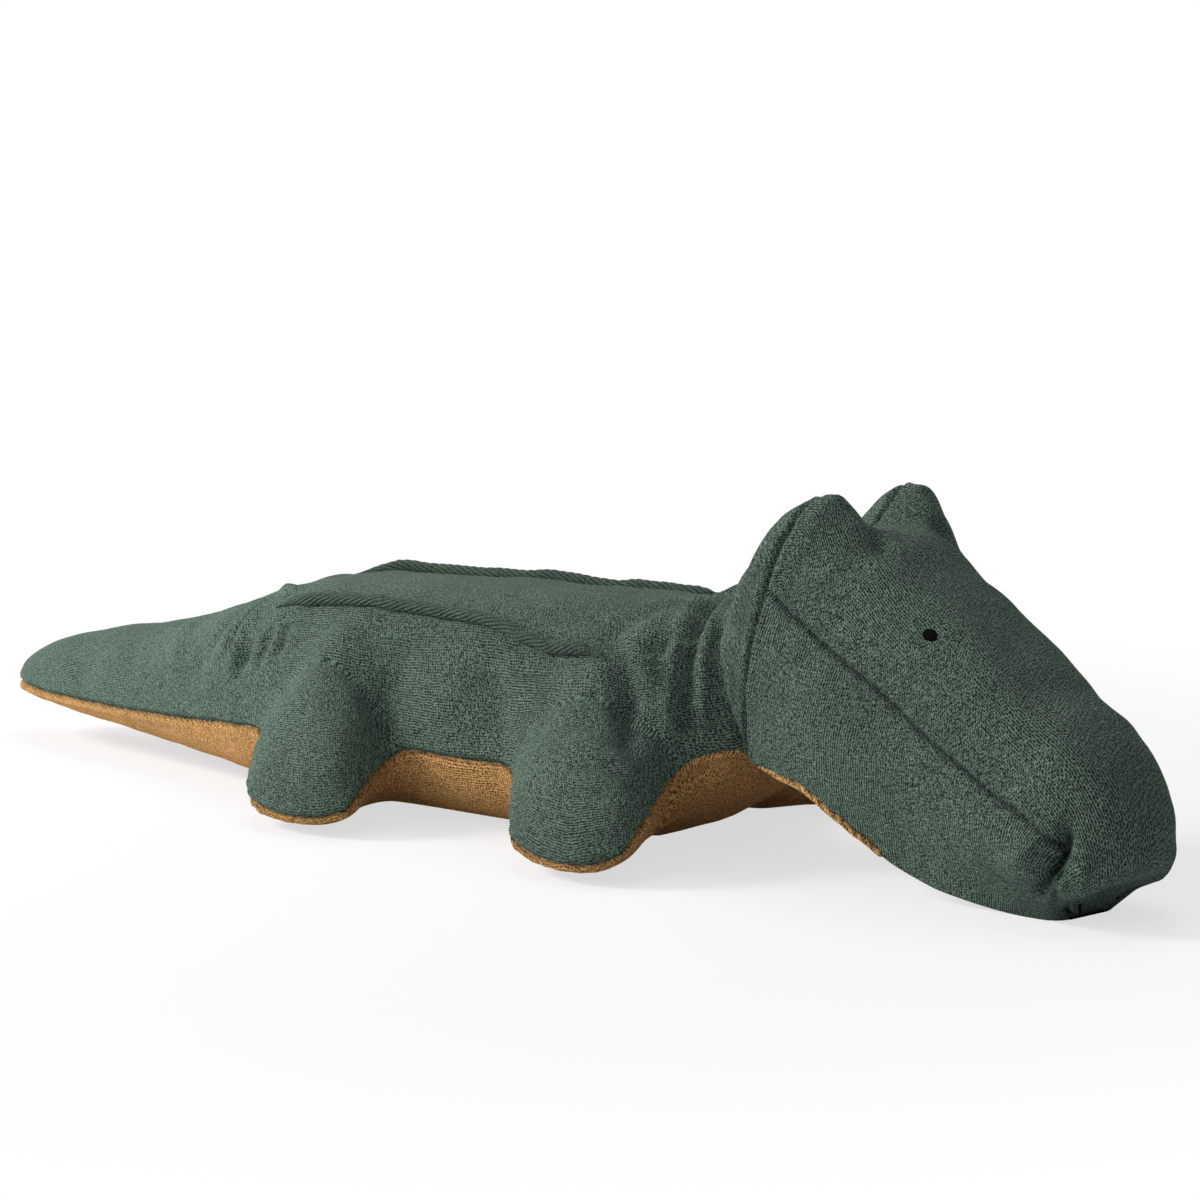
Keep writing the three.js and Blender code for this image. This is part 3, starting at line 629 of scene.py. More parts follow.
@dataclass
class Skin:
    """The whole sewn surface as one mesh, from which the pieces are cut."""

    head: HeadForm
    body: BodyForm
    columns: int = 66
    step: float = 0.0017
    neck_rows: int = 40
    neck_softness: float = 0.4
    leg_rows: int = 29
    head_rows_between: tuple[int, ...] = (9, 7, 9, 10, 11, 14, 16, 16, 8, 6, 6, 6, 6, 5)
    crowding: tuple[tuple[float, float, float], ...] = ((1.8, 1, 0.05), (1.6, 0.5, 0.035))
    weld: float = 2e-5
    root_reach: float = 0.042
    root_full: float = 0.3
    root_close: float = 0.5
    root_rounds: int = 26
    near_rounds: int = 10
    close_rounds: int = 24
    root_voxel: float = 0.003
    nostril: tuple[float, float, float] = (0.164, 0.031, 0.023)
    nostril_reach: float = 0.014
    finest_edge: float = 0.0007
    bm: bmesh.types.BMesh = field(default_factory=bmesh.new)

    def across(self) -> np.ndarray:
        """Columns from -1 to 1, closer together at the side seams and the head's top seams."""
        fine = np.linspace(0, 1, 2001)
        crowd = np.ones_like(fine)
        for more, at, width in self.crowding:
            crowd = crowd + more * np.exp(-((fine - at) / width) ** 2)
        reach = np.concatenate(([0], np.cumsum((crowd[1:] + crowd[:-1]) / 2)))
        reach /= reach[-1]
        half_way = reach[len(fine) // 2]
        middle = int(round(self.columns * half_way))
        inner = np.interp(np.linspace(0, half_way, middle + 1), reach, fine)
        outer = np.interp(np.linspace(half_way, 1, self.columns - middle + 1), reach, fine)
        half = np.concatenate((inner[:-1], [0.5], outer[1:]))
        return np.concatenate((-half[:0:-1], half))

    def body_rows(self) -> tuple[np.ndarray, dict[str, tuple[int, int]]]:
        """Rows along the body, and where each leg's root starts and ends among them."""
        rows: list[float] = []
        spans: dict[str, tuple[int, int]] = {}
        at = body_x(0)
        for leg in LEGS:
            start, stop = leg.root - LEG_ROOT_HALF, leg.root + LEG_ROOT_HALF
            rows += list(np.linspace(at, start, int((start - at) / self.step))[:-1])
            first = len(rows)
            rows += list(leg.root + LEG_ROOT_HALF * np.sin(leg_steps() * np.pi / 2))
            spans[leg.name] = (first, len(rows) - 1)
            at = stop
        rows += list(np.linspace(at, body_x(1), self.neck_rows)[1:])
        return np.array(rows), spans

    def head_rows(self) -> np.ndarray:
        """Rows over the head's table, closer together beside the gusset's seams."""
        counts = self.head_rows_between
        parts = [np.linspace(i, i + 1, n, endpoint=False) for i, n in enumerate(counts)]
        return np.concatenate(parts + [[len(counts)]])

    def add_sheet(self, points: np.ndarray, flat: np.ndarray, part_of: np.ndarray) -> None:
        """Adds a grid of faces moved onto its points.

        Args:
            points: Rows by columns by 3.
            flat: Place on the flat cloth of each point, rows by columns by 2.
            part_of: Part of each face, rows less one by columns less one.
        """
        rows, columns = points.shape[:2]
        grid = bmesh.new()
        bmesh.ops.create_grid(grid, x_segments=columns - 1, y_segments=rows - 1, size=0.5)
        mesh = bpy.data.meshes.new("sheet")
        grid.to_mesh(mesh)
        grid.free()
        place = np.empty(len(mesh.vertices) * 3)
        mesh.vertices.foreach_get("co", place)
        place = place.reshape(-1, 3)
        row = np.rint((place[:, 1] + 0.5) * (rows - 1)).astype(int)
        column = np.rint((place[:, 0] + 0.5) * (columns - 1)).astype(int)
        corner = np.empty(len(mesh.loops), int)
        mesh.loops.foreach_get("vertex_index", corner)
        loose = mesh.uv_layers.new(name="Flat")
        loose.data.foreach_set("uv", flat[row, column][corner].astype(np.float32).ravel())
        starts = np.empty(len(mesh.polygons), int)
        mesh.polygons.foreach_get("loop_start", starts)
        corners = corner.reshape(-1, 4)
        part = mesh.attributes.new("part", "INT", "FACE")
        part.data.foreach_set("value", part_of[row[corners].min(1), column[corners].min(1)].astype(np.int32))
        mesh.vertices.foreach_set("co", points[row, column].ravel())
        mesh.update()
        self.bm.from_mesh(mesh)
        bpy.data.meshes.remove(mesh)

    def build(self) -> None:
        """Makes the sheets of the body, legs and head, and sews them together."""
        across = self.across()
        rows, spans = self.body_rows()
        ring = {True: self.head.upper(np.array([0.0]), across * 4)[0],
                False: self.head.lower(np.array([0.0]), across * 4)[0]}
        tip = np.array([body_x(0) - TAIL_TIP_OUT, 0.0, TAIL_TIP_HEIGHT])
        start = mix(*NECK_FIT_STARTS, smoothstep(np.abs(across), 0.55, 1.0))
        edges: dict[bool, np.ndarray] = {}
        for upward in (True, False):
            points = self.body.surface(rows[:, None], across[None, :], upward)
            t = np.clip((rows[:, None] - start) / (body_x(1) - start), 0, 1)
            share = mix(t, smoothstep(t, 0, 1), self.neck_softness)[..., None]
            points = mix(points, ring[upward][None], share)
            points = np.concatenate((np.broadcast_to(tip, (1, len(across), 3)), points))
            flat = self.flat_of(points)
            edges[upward] = flat[1:, [0, -1]]
            top, tail, neck = ((Part.BACK, Part.TAIL_TOP, Part.NECK_TOP) if upward
                               else (Part.BELLY, Part.TAIL_UNDER, Part.THROAT))
            place = np.concatenate(([rows[0]], rows))[:-1]
            by_row = np.where(place < TAIL_CUT, tail, np.where(place > NECK_CUT, neck, top))
            self.add_sheet(points, flat, np.repeat(by_row[:, None], len(across) - 1, 1))
        self.build_legs(spans, edges)
        self.build_head(across)
        bmesh.ops.remove_doubles(self.bm, verts=self.bm.verts, dist=self.weld)
        bmesh.ops.dissolve_degenerate(self.bm, dist=self.weld / 2, edges=self.bm.edges)
        bmesh.ops.recalc_face_normals(self.bm, faces=self.bm.faces)
        open_edges = sum(1 for edge in self.bm.edges if len(edge.link_faces) != 2)
        log.info("skin: %d vertices, %d faces, %d open edges",
                 len(self.bm.verts), len(self.bm.faces), open_edges)

    @staticmethod
    def flat_of(points: np.ndarray) -> np.ndarray:
        """Place on the flat cloth: along the body, and the way across it from the middle.

        Args:
            points: A sheet's points, rows by columns by 3.

        Returns:
            The places, rows by columns by 2.
        """
        way = ways_across(points)
        way -= way[:, way.shape[1] // 2][:, None]
        return np.stack((np.broadcast_to(down_rows(points)[:, None], way.shape), way), axis=-1)

    def build_legs(self, spans: dict[str, tuple[int, int]], edges: dict[bool, np.ndarray]) -> None:
        """Makes the tops and soles of the four legs, whose ribs go on from the body's.

        Args:
            spans: First and last row of each leg's root among the body's rows.
            edges: Place on the flat cloth along both side seams, of the upper and lower surface.
        """
        out = np.linspace(0, 1, self.leg_rows)
        for number, (leg, side) in enumerate(LEG_SIDES):
            first, last = spans[leg.name]
            for upward in (True, False):
                points = leg.point(self.body, side, leg_steps()[:, None], out[None, :], upward)
                way = ways_across(points)
                edge = edges[upward][first:last + 1, 1 if side is Side.LEFT else 0]
                along = np.broadcast_to(edge[:, :1], way.shape)
                flat = np.stack((along, side.value * (np.abs(edge[:, 1:]) + way)), axis=-1)
                part = (Part.LEG_TOPS if upward else Part.LEG_SOLES) + number
                self.add_sheet(points, flat, np.full((len(points) - 1, len(out) - 1), part))

    def build_head(self, across: np.ndarray) -> None:
        """Makes the head above its jaw seam, and the chin.

        Args:
            across: Columns of the body's sheets, which the head's follow.
        """
        rows = self.head_rows()
        upper = self.head.upper(rows, across * 4)
        lower = self.head.lower(rows, across * 4)
        upper = np.concatenate((upper, lower[-1:]))
        for points, above in ((upper, True), (lower, False)):
            flat = self.flat_of(points)
            if not above:
                by_row = np.where(rows[:-1] < NOSE_ROW, Part.CHIN, Part.HEAD_TOP)[:, None]
                self.add_sheet(points, flat, np.repeat(by_row, len(across) - 1, 1))
                continue
            place = np.concatenate((rows, [rows[-1] + 1]))[:-1][:, None]
            centre = ((across[1:] + across[:-1]) / 2 * 4)[None, :]
            main = np.where(centre > 2, Part.CHEEK_LEFT, Part.HEAD_TOP)
            main = np.where(centre < -2, Part.CHEEK_RIGHT, main)
            part = np.where(place < GUSSET_ROW - 1e-6, Part.GUSSET, main)
            self.add_sheet(points, flat, part)
        turned = self.bm.loops.layers.uv["Flat"]
        layer = self.bm.faces.layers.int["part"]
        for face in self.bm.faces:
            if face[layer] in (Part.CHEEK_RIGHT, Part.CHEEK_LEFT):
                for loop in face.loops:
                    loop[turned].uv = loop[turned].uv.yx

    def refine(self) -> None:
        """Splits the faces beside the seams and round the nostrils, where the relief is fine."""
        layer = self.bm.faces.layers.int["part"]
        along, aside, height = self.nostril
        marks = [Vector(self.head.placed(np.array((along, side * aside, height)))) for side in (-1, 1)]
        chosen = set()
        for face in self.bm.faces:
            middle = face.calc_center_median()
            if min((middle - mark).length for mark in marks) < self.nostril_reach:
                chosen.update(face.edges)
        for edge in self.bm.edges:
            faces = edge.link_faces
            if len(faces) == 2 and cloth_of(faces[0][layer]) != cloth_of(faces[1][layer]):
                for vert in edge.verts:
                    for face in vert.link_faces:
                        chosen.update(face.edges)
        edges = [edge for edge in chosen if edge.calc_length() > self.finest_edge]
        bmesh.ops.subdivide_edges(self.bm, edges=edges, cuts=1, use_grid_fill=True)

    def soften_roots(self) -> None:
        """Smooths the skin where the legs grow out of the body."""
        layer = self.bm.faces.layers.int["part"]
        roots = []
        for edge in self.bm.edges:
            parts = {face[layer] for face in edge.link_faces}
            if len(parts) == 2 and max(parts) >= Part.LEG_TOPS and min(parts) < Part.LEG_TOPS:
                roots += [vert.co.copy() for vert in edge.verts]
        tree = kd_tree(roots)
        even = self.even_copy()
        near = []
        for vert in self.bm.verts:
            way = tree.find(vert.co)[2]
            if way < self.root_reach:
                full = self.root_full * self.root_reach
                share = 1 - float(smoothstep(np.array(way), full, self.root_reach))
                vert.co = vert.co.lerp(even.find_nearest(vert.co)[0], share)
                near.append(vert)
        close = [vert for vert in near if tree.find(vert.co)[2] < self.root_close * self.root_reach]
        for verts in [near] * self.near_rounds + [close] * self.close_rounds:
            bmesh.ops.smooth_vert(self.bm, verts=verts, factor=0.5,
                                  use_axis_x=True, use_axis_y=True, use_axis_z=True)

    def even_copy(self) -> BVHTree:
        """An evenly meshed, smoothed copy of the skin, to be drawn onto."""
        mesh = bpy.data.meshes.new("even copy")
        self.bm.to_mesh(mesh)
        copy = linked("even copy", mesh)
        remesh = copy.modifiers.new("Remesh", "REMESH")
        remesh.mode, remesh.voxel_size = "VOXEL", self.root_voxel
        smooth = copy.modifiers.new("Smooth", "SMOOTH")
        smooth.factor, smooth.iterations = 0.5, self.root_rounds
        tree = BVHTree.FromObject(copy, bpy.context.evaluated_depsgraph_get())
        bpy.data.objects.remove(copy)
        bpy.data.meshes.remove(mesh)
        return tree


def leg_steps() -> np.ndarray:
    """Steps over a leg's width, which the body's rows follow."""
    return np.linspace(-1, 1, 35)


def head_plane_normal(head: HeadForm) -> np.ndarray:
    """Direction of the neck seam's plane, forward and a little up.

    Args:
        head: The head.

    Returns:
        The direction, of length 1.
    """
    lean = -HEAD_SHARES[0][1]
    c, s = math.cos(head.yaw), math.sin(head.yaw)
    return np.array([c, -s, lean]) / math.sqrt(1 + lean * lean)


class Relief:
    """Moves the skin's points: soft lumps, folds, tucks and seams."""

    seed = 7
    nose_start = 0.165
    nose_underside = (0.13, 0.012)
    hidden_depth, neck_depth, full_depth = 0.0, 0.25, 1.0
    lump_height, lump_waves = 0.0007, (0.035, 0.075, 9)
    dimple_height, dimple_waves = 0.00022, (0.012, 0.022, 12)
    lump_floor = (0.002, 0.010)
    fold_step = 3 * MM
    fold_slack, fold_least = 0.030, 0.010
    fold_reach = 4
    # Painted shade in fold valleys: less of it for folds wider than soft_width, full at shade_depth, over a
    # share of the fold's width.
    soft_width, soft_shade = 7, 0.3
    shade_depth, shade_width = 6.5 * MM, 0.7
    pucker_waves = (0.0038, 0.0075, 16)
    seam_floor = (0.0005, 0.003)
    groove_depth, groove_width = 1.6, 1.1
    lip_height, lip_way, lip_width = 0.55, 3.0, 1.6
    pucker_height, pucker_way, pucker_width = 0.36, 2.4, 2.4
    # Width of the painted shade line along each seam's groove.
    seam_shade_width = 0.0011

    def __init__(self, skin: Skin) -> None:
        """Reads the skin's points and finds its seams."""
        self.skin = skin
        self.bm = skin.bm
        self.points = np.array([vert.co for vert in self.bm.verts])
        self.random = np.random.default_rng(self.seed)
        # Painted shade in the fold valleys, for each point.
        self.valley = np.zeros(len(self.points))
        self.normals = self.read_normals()
        self.seam_way, self.calm = self.find_seams()

    def read_normals(self) -> np.ndarray:
        """Present normals of the points."""
        self.bm.normal_update()
        return np.array([vert.normal for vert in self.bm.verts])

    def write(self) -> None:
        """Puts the moved points back and reads the new normals."""
        self.points[:, 2] = np.maximum(self.points[:, 2], 0)
        for vert, point in zip(self.bm.verts, self.points):
            vert.co = point
        self.normals = self.read_normals()

    def find_seams(self) -> tuple[np.ndarray, np.ndarray]:
        """Way from each point to the nearest seam, and how deep that seam lies."""
        layer = self.bm.faces.layers.int["part"]
        marks, depths = [], []
        for edge in self.bm.edges:
            faces = edge.link_faces
            if len(faces) == 2 and cloth_of(faces[0][layer]) != cloth_of(faces[1][layer]):
                a, b = (vert.co for vert in edge.verts)
                marks += [a.copy(), (a + b) / 2, b.copy()]
                found = {face[layer] for face in faces}
                forward = self.skin.head.forward(np.array(a))
                under = forward > self.nose_underside[0] and a.z < self.nose_underside[1]
                depth = self.neck_depth if found & {Part.NECK_TOP, Part.THROAT} else self.full_depth
                if Part.CHIN in found or forward > self.nose_start or under:
                    depth = self.hidden_depth
                depths += [depth] * 3
        tree = kd_tree(marks)
        found = [tree.find(vert.co) for vert in self.bm.verts]
        return np.array([way for _, _, way in found]), np.array([depths[i] for _, i, _ in found])

    def waves(self, shortest: float, longest: float, count: int) -> np.ndarray:
        """Smooth random heights, about -1 to 1, with waves of the given lengths.

        Args:
            shortest: Least length of a wave.
            longest: Greatest length of a wave.
            count: How many waves are added up.

        Returns:
            The height at each point of the skin.
        """
        total = np.zeros(len(self.points))
        for _ in range(count):
            way = self.random.normal(size=3)
            way *= 2 * np.pi / (np.linalg.norm(way) * self.random.uniform(shortest, longest))
            total += np.sin(self.points @ way + self.random.uniform(0, 2 * np.pi))
        return total / math.sqrt(count)

    def lumps(self) -> None:
        """Soft unevenness of the filling under the cloth."""
        height = self.lump_height * self.waves(*self.lump_waves)
        height = height + self.dimple_height * self.waves(*self.dimple_waves)
        clear = smoothstep(self.points[:, 2], *self.lump_floor)
        self.points += self.normals * (height * clear)[:, None]
        self.write()

    def drawn(self, route: np.ndarray) -> np.ndarray:
        """A route in short steps, drawn onto the skin.

        Args:
            route: Its corners, by 3.

        Returns:
            Its steps, about 3 mm apart, by 3.
        """
        starts = np.concatenate(([0], np.cumsum(np.linalg.norm(np.diff(route, axis=0), axis=1))))
        at = np.linspace(0, starts[-1], max(int(starts[-1] / self.fold_step), 3))
        steps = np.stack([np.interp(at, starts, route[:, axis]) for axis in range(3)], axis=1)
        reach = np.linalg.norm(self.points - route.mean(0), axis=1)
        near = self.points[reach < max(starts[-1] / 2 + self.fold_slack, reach.min() + self.fold_least)]
        found = np.array([near[np.linalg.norm(near - step, axis=1).argmin()] for step in steps])
        found[1:-1] = (found[:-2] + 2 * found[1:-1] + found[2:]) / 4
        return found

    def press(self, fold: Fold, mirrored: bool, on_head: bool) -> None:
        """Moves the points beside one fold, and keeps painted shade along a valley's bottom.

        Args:
            fold: The fold.
            mirrored: Whether it lies on the far side.
            on_head: Whether its route is in the head's frame.
        """
        route = np.array(fold.route, float) * MM
        if mirrored:
            route = route * (1, -1, 1)
        if on_head:
            route = self.skin.head.placed(route)
        route = self.drawn(route)
        width = fold.width * MM
        near = np.all((self.points > route.min(0) - self.fold_reach * width)
                      & (self.points < route.max(0) + self.fold_reach * width), axis=1)
        index = np.nonzero(near)[0]
        spot = self.points[index]
        lengths = np.linalg.norm(np.diff(route, axis=0), axis=1)
        starts = np.concatenate(([0], np.cumsum(lengths)))
        best, along = np.full(len(index), 1e9), np.zeros(len(index))
        for i, length in enumerate(lengths):
            way = (route[i + 1] - route[i]) / max(length, 1e-6)
            t = np.clip((spot - route[i]) @ way, 0, length)
            gap = np.linalg.norm(spot - route[i] - t[:, None] * way, axis=1)
            better = gap < best
            best[better], along[better] = gap[better], (starts[i] + t)[better]
        share = along / starts[-1]
        taper = 0.25 + 0.75 * np.sin(np.pi * np.clip(0.12 + 0.76 * share, 0, 1))
        depth = fold.depth * MM * (fold.far_share if mirrored else 1)
        # Painted shade along the valley's bottom, strongest for deep, narrow folds.
        sharp = 1.0 if fold.width < self.soft_width else self.soft_shade
        crease_shade = sharp * np.clip(-depth / self.shade_depth, 0, 2) ** 1.5 * taper
        crease_shade = crease_shade * np.exp(-(best / (self.shade_width * fold.width * MM)) ** 2)
        self.valley[index] = np.maximum(self.valley[index], crease_shade)
        push = depth * taper * np.exp(-(best / width) ** 2)
        self.points[index] += self.normals[index] * push[:, None]

    def folds(self) -> None:
        """All folds, tucks and dents, on both sides."""
        for group, on_head in ((BODY_FOLDS, False), (HEAD_FOLDS, True)):
            for fold in group:
                for mirrored in (False, True):
                    self.press(fold, mirrored, on_head)
            self.write()

    def seams(self) -> None:
        """Sinks the seams, and puckers the cloth beside them."""
        way = self.seam_way / MM
        pucker = self.waves(*self.pucker_waves)
        groove = -self.groove_depth * np.exp(-(way / self.groove_width) ** 2)
        lip = self.lip_height * np.exp(-((way - self.lip_way) / self.lip_width) ** 2)
        ripple = self.pucker_height * pucker * np.exp(-((way - self.pucker_way) / self.pucker_width) ** 2)
        clear = smoothstep(self.points[:, 2], *self.seam_floor) * self.calm
        self.points += self.normals * ((groove + lip + ripple) * MM * clear)[:, None]
        self.write()

    def finish(self) -> None:
        """Keeps the joined normals on the skin, and painted shade along the seams' grooves and the folds'
        valleys.
        """
        # Painted shade: a dark line along each seam's groove, and darkening along the bottoms of the fold
        # valleys.
        seam = self.bm.verts.layers.float.new("Seam")
        joined = self.bm.verts.layers.float_vector.new("Joined")
        made = zip(self.bm.verts, self.seam_way, self.calm, self.valley, self.normals)
        for vert, way, calm, valley, normal in made:
            vert[seam] = max(calm * math.exp(-(way / self.seam_shade_width) ** 2), float(valley))
            vert[joined] = normal


class Nodes:
    """Short calls for the nodes of one tree."""

    def __init__(self, tree: bpy.types.NodeTree) -> None:
        """Keeps the tree."""
        self.tree = tree

    def add(self, kind: str, inputs: dict[str | int, object] | None = None,
            **settings: object) -> bpy.types.Node:
        """A node with its settings, and each input linked or set.

        Args:
            kind: Blender's name for the node.
            inputs: Sockets or values by input name or number.
            settings: The node's own properties.

        Returns:
            The node.
        """
        node = self.tree.nodes.new(kind)
        for name, value in settings.items():
            setattr(node, name, value)
        for name, value in (inputs or {}).items():
            if isinstance(value, bpy.types.NodeSocket):
                self.tree.links.new(value, node.inputs[name])
            else:
                node.inputs[name].default_value = value
        return node

    def math(self, operation: str, *values: object) -> bpy.types.NodeSocket:
        """Result of a math node."""
        return self.add("ShaderNodeMath", dict(enumerate(values)), operation=operation).outputs[0]

    def centred(self, value: object, scale: object) -> bpy.types.NodeSocket:
        """A value less a half, times a scale."""
        return self.math("MULTIPLY", self.math("SUBTRACT", value, 0.5), scale)

    def span(self, value: object, low: float, high: float, to_low: float,
             to_high: float) -> bpy.types.NodeSocket:
        """A value moved smoothly from one range to another."""
        inputs = {"Value": value, "From Min": low, "From Max": high, "To Min": to_low, "To Max": to_high}
        return self.add("ShaderNodeMapRange", inputs, interpolation_type="SMOOTHSTEP").outputs[0]

    def noise(self, where: object, scale: float, detail: float = 2,
              roughness: float = 0.5) -> bpy.types.NodeSocket:
        """Height of a noise."""
        inputs = {"Vector": where, "Scale": scale, "Detail": detail, "Roughness": roughness}
        return self.add("ShaderNodeTexNoise", inputs).outputs[0]

    def blend(self, share: object, a: object, b: object, kind: str = "MIX") -> bpy.types.NodeSocket:
        """Mix of two colours."""
        inputs = {0: share, 6: a, 7: b}
        return self.add("ShaderNodeMix", inputs, data_type="RGBA", blend_type=kind).outputs[2]


def blank(owner: bpy.types.Material | bpy.types.World) -> Nodes:
    """The emptied node tree of a material or of the world.

    Args:
        owner: The material or world.

    Returns:
        Its nodes.
    """
    owner.use_nodes = True
    owner.node_tree.nodes.clear()
    return Nodes(owner.node_tree)


class PileGroup:
    """Shared node group of terry cloth: its loops, ribs and fuzz."""

    name = "Terry pile"
    wander, jolt, slip = 0.0026, 0.0012, 0.0028
    wander_scale, shift_scale = 45, 260.0
    row_step = 0.37
    loop_length = 1.12
    loop_height, fuzz_height, grain_height = 0.13, 0.5, 1.55
    fuzz_scale, grain_scale, patch_scale, drift_scale = 2300, 1080, 30, 16
    patch_span = (0.38, 0.62, 0.35, 1)

    def __init__(self) -> None:
        """Builds the group once."""
        self.tree = bpy.data.node_groups.new(self.name, "ShaderNodeTree")
        face = self.tree.interface
        for label, kind in (("Flat", "NodeSocketVector"), ("Place", "NodeSocketVector"),
                            ("Rib pitch", "NodeSocketFloat"), ("Rib depth", "NodeSocketFloat")):
            face.new_socket(name=label, in_out="INPUT", socket_type=kind)
        for label in ("Height", "Drift"):
            face.new_socket(name=label, in_out="OUTPUT", socket_type="NodeSocketFloat")
        n = Nodes(self.tree)
        given = n.add("NodeGroupInput")
        parts = n.add("ShaderNodeSeparateXYZ", {0: given.outputs["Flat"]})
        along, across = parts.outputs[0], parts.outputs[1]
        place, pitch = given.outputs["Place"], given.outputs["Rib pitch"]
        shift = n.add("ShaderNodeSeparateColor", {0: n.add("ShaderNodeTexNoise", {
            "Vector": place, "Scale": self.shift_scale, "Detail": 1.0}).outputs["Color"]})
        wander = n.centred(n.noise(place, self.wander_scale, 2), self.wander)
        jolt = n.centred(shift.outputs[0], self.jolt)
        slip = n.centred(shift.outputs[1], self.slip)
        ribs_at = n.math("DIVIDE", n.math("ADD", n.math("ADD", across, wander), jolt), pitch)
        row = n.math("MULTIPLY", n.math("FLOOR", ribs_at), self.row_step)
        loop_pitch = n.math("MULTIPLY", pitch, self.loop_length)
        loops_at = n.math("ADD", n.math("DIVIDE", n.math("ADD", along, slip), loop_pitch), row)
        rib = n.math("COSINE", n.math("MULTIPLY", ribs_at, 2 * math.pi))
        loop = n.math("COSINE", n.math("MULTIPLY", loops_at, 2 * math.pi))
        fuzz = n.centred(n.noise(place, self.fuzz_scale, 1), self.fuzz_height)
        grain = n.centred(n.noise(place, self.grain_scale, 2, 0.6), self.grain_height)
        patch = n.span(n.noise(place, self.patch_scale, 2), *self.patch_span)
        ribs = n.math("MULTIPLY", n.math("MULTIPLY", rib, given.outputs["Rib depth"]), patch)
        loops = n.math("ADD", n.math("MULTIPLY", loop, self.loop_height), n.math("ADD", fuzz, grain))
        height = n.math("ADD", n.math("ADD", loops, ribs), 0.5)
        drift = n.noise(place, self.drift_scale, 4, 0.6)
        n.add("NodeGroupOutput", {"Height": height, "Drift": drift})


@dataclass(frozen=True)
class TerryFinish:
    """Terry cloth of one colour: deep is its colour in the pile's gaps, with painted shade, and light its
    colour on the loops' tops, with painted light.
    """

    name: str
    slot: str
    deep: tuple[float, float, float]
    light: tuple[float, float, float]
    sheen_tint: tuple[float, float, float]
    sheen: float = 0.10
    rib_pitch: float = 0.0012
    rib_depth: float = 0.22
    contrast: float = 2.3
    middle: float = 0.47
    bump: float = 0.0014
    calm_span: tuple[float, float] = (-0.30, 0.10)
    calmest: float = 0.45

    def material(self, pile: PileGroup) -> bpy.types.Material:
        """Builds the material.

        Args:
            pile: The shared node group.

        Returns:
            The material.
        """
        made = bpy.data.materials.new(self.name)
        n = blank(made)
        place = n.add("ShaderNodeTexCoord").outputs["Object"]
        flat = n.add("ShaderNodeUVMap", uv_map="Flat").outputs[0]
        group = n.add("ShaderNodeGroup", node_tree=pile.tree)
        for label, value in (("Flat", flat), ("Place", place)):
            n.tree.links.new(value, group.inputs[label])
        group.inputs["Rib pitch"].default_value = self.rib_pitch
        group.inputs["Rib depth"].default_value = self.rib_depth
        along = n.add("ShaderNodeSeparateXYZ", {0: place}).outputs[0]
        far = n.span(along, *self.calm_span, self.calmest, 1.0)
        # The colour follows the pile's height: partly the random tone of loops and fuzz, partly painted shade
        # in the gaps between loops and ribs and painted light on their tops.
        centred = n.centred(group.outputs["Height"], n.math("MULTIPLY", far, self.contrast))
        colour = n.blend(n.math("ADD", centred, self.middle), (*self.deep, 1), (*self.light, 1))
        drift = n.span(group.outputs["Drift"], 0.3, 0.7, 0.86, 1.12)
        # Darker towards the tail, where the pile's contrast and bump are calmer.
        drift = n.math("MULTIPLY", drift, n.span(far, self.calmest, 1, 0.86, 1))
        # Painted shade from the skin: dark lines in the seams' grooves, the fold valleys and the gaps of the
        # ridge's strands, broken up by noise.
        seam = n.add("ShaderNodeAttribute", attribute_name="Seam").outputs["Fac"]
        painted_groove_shade = n.math("MULTIPLY", seam, n.span(n.noise(place, 360, 1), 0.34, 0.62, 0.26, 0.62))
        tone = n.math("MULTIPLY", drift, n.math("MAXIMUM", n.math("SUBTRACT", 1, painted_groove_shade), 0.06))
        tint = n.add("ShaderNodeCombineColor", {0: tone, 1: tone, 2: tone}).outputs[0]
        colour = n.blend(1.0, colour, tint, "MULTIPLY")
        bump = n.add("ShaderNodeBump", {"Strength": far, "Distance": self.bump,
                                        "Height": group.outputs["Height"]})
        shader = n.add("ShaderNodeBsdfPrincipled", {
            "Base Color": colour, "Roughness": 0.95, "Normal": bump.outputs[0], "Specular IOR Level": 0.2,
            "Sheen Weight": self.sheen, "Sheen Roughness": 0.5, "Sheen Tint": (*self.sheen_tint, 1)})
        n.add("ShaderNodeOutputMaterial", {"Surface": shader.outputs[0]})
        return made


@dataclass(frozen=True)
class ThreadFinish:
    """Sewing or embroidery thread: fine parallel strands with a soft gloss, and a painted highlight along
    each strand.
    """

    name: str
    slot: str
    colour: tuple[float, float, float]
    strands_per_metre: float = 2600

    def material(self) -> bpy.types.Material:
        """Builds the material."""
        made = bpy.data.materials.new(self.name)
        n = blank(made)
        place = n.add("ShaderNodeTexCoord").outputs["Object"]
        strands = n.add("ShaderNodeTexWave", {"Vector": place, "Scale": self.strands_per_metre / 6,
                                              "Distortion": 1.2, "Detail": 1}, bands_direction="DIAGONAL")
        # Painted highlight: each strand's crown is drawn lighter than the thread's colour.
        lit = tuple(c * 1.8 for c in self.colour)
        colour = n.blend(strands.outputs[1], (*self.colour, 1), (*lit, 1))
        bump = n.add("ShaderNodeBump", {"Strength": 0.8, "Distance": 0.0003, "Height": strands.outputs[1]})
        shader = n.add("ShaderNodeBsdfPrincipled", {"Base Color": colour, "Roughness": 0.7,
                                                    "Specular IOR Level": 0.02, "Normal": bump.outputs[0]})
        n.add("ShaderNodeOutputMaterial", {"Surface": shader.outputs[0]})
        return made


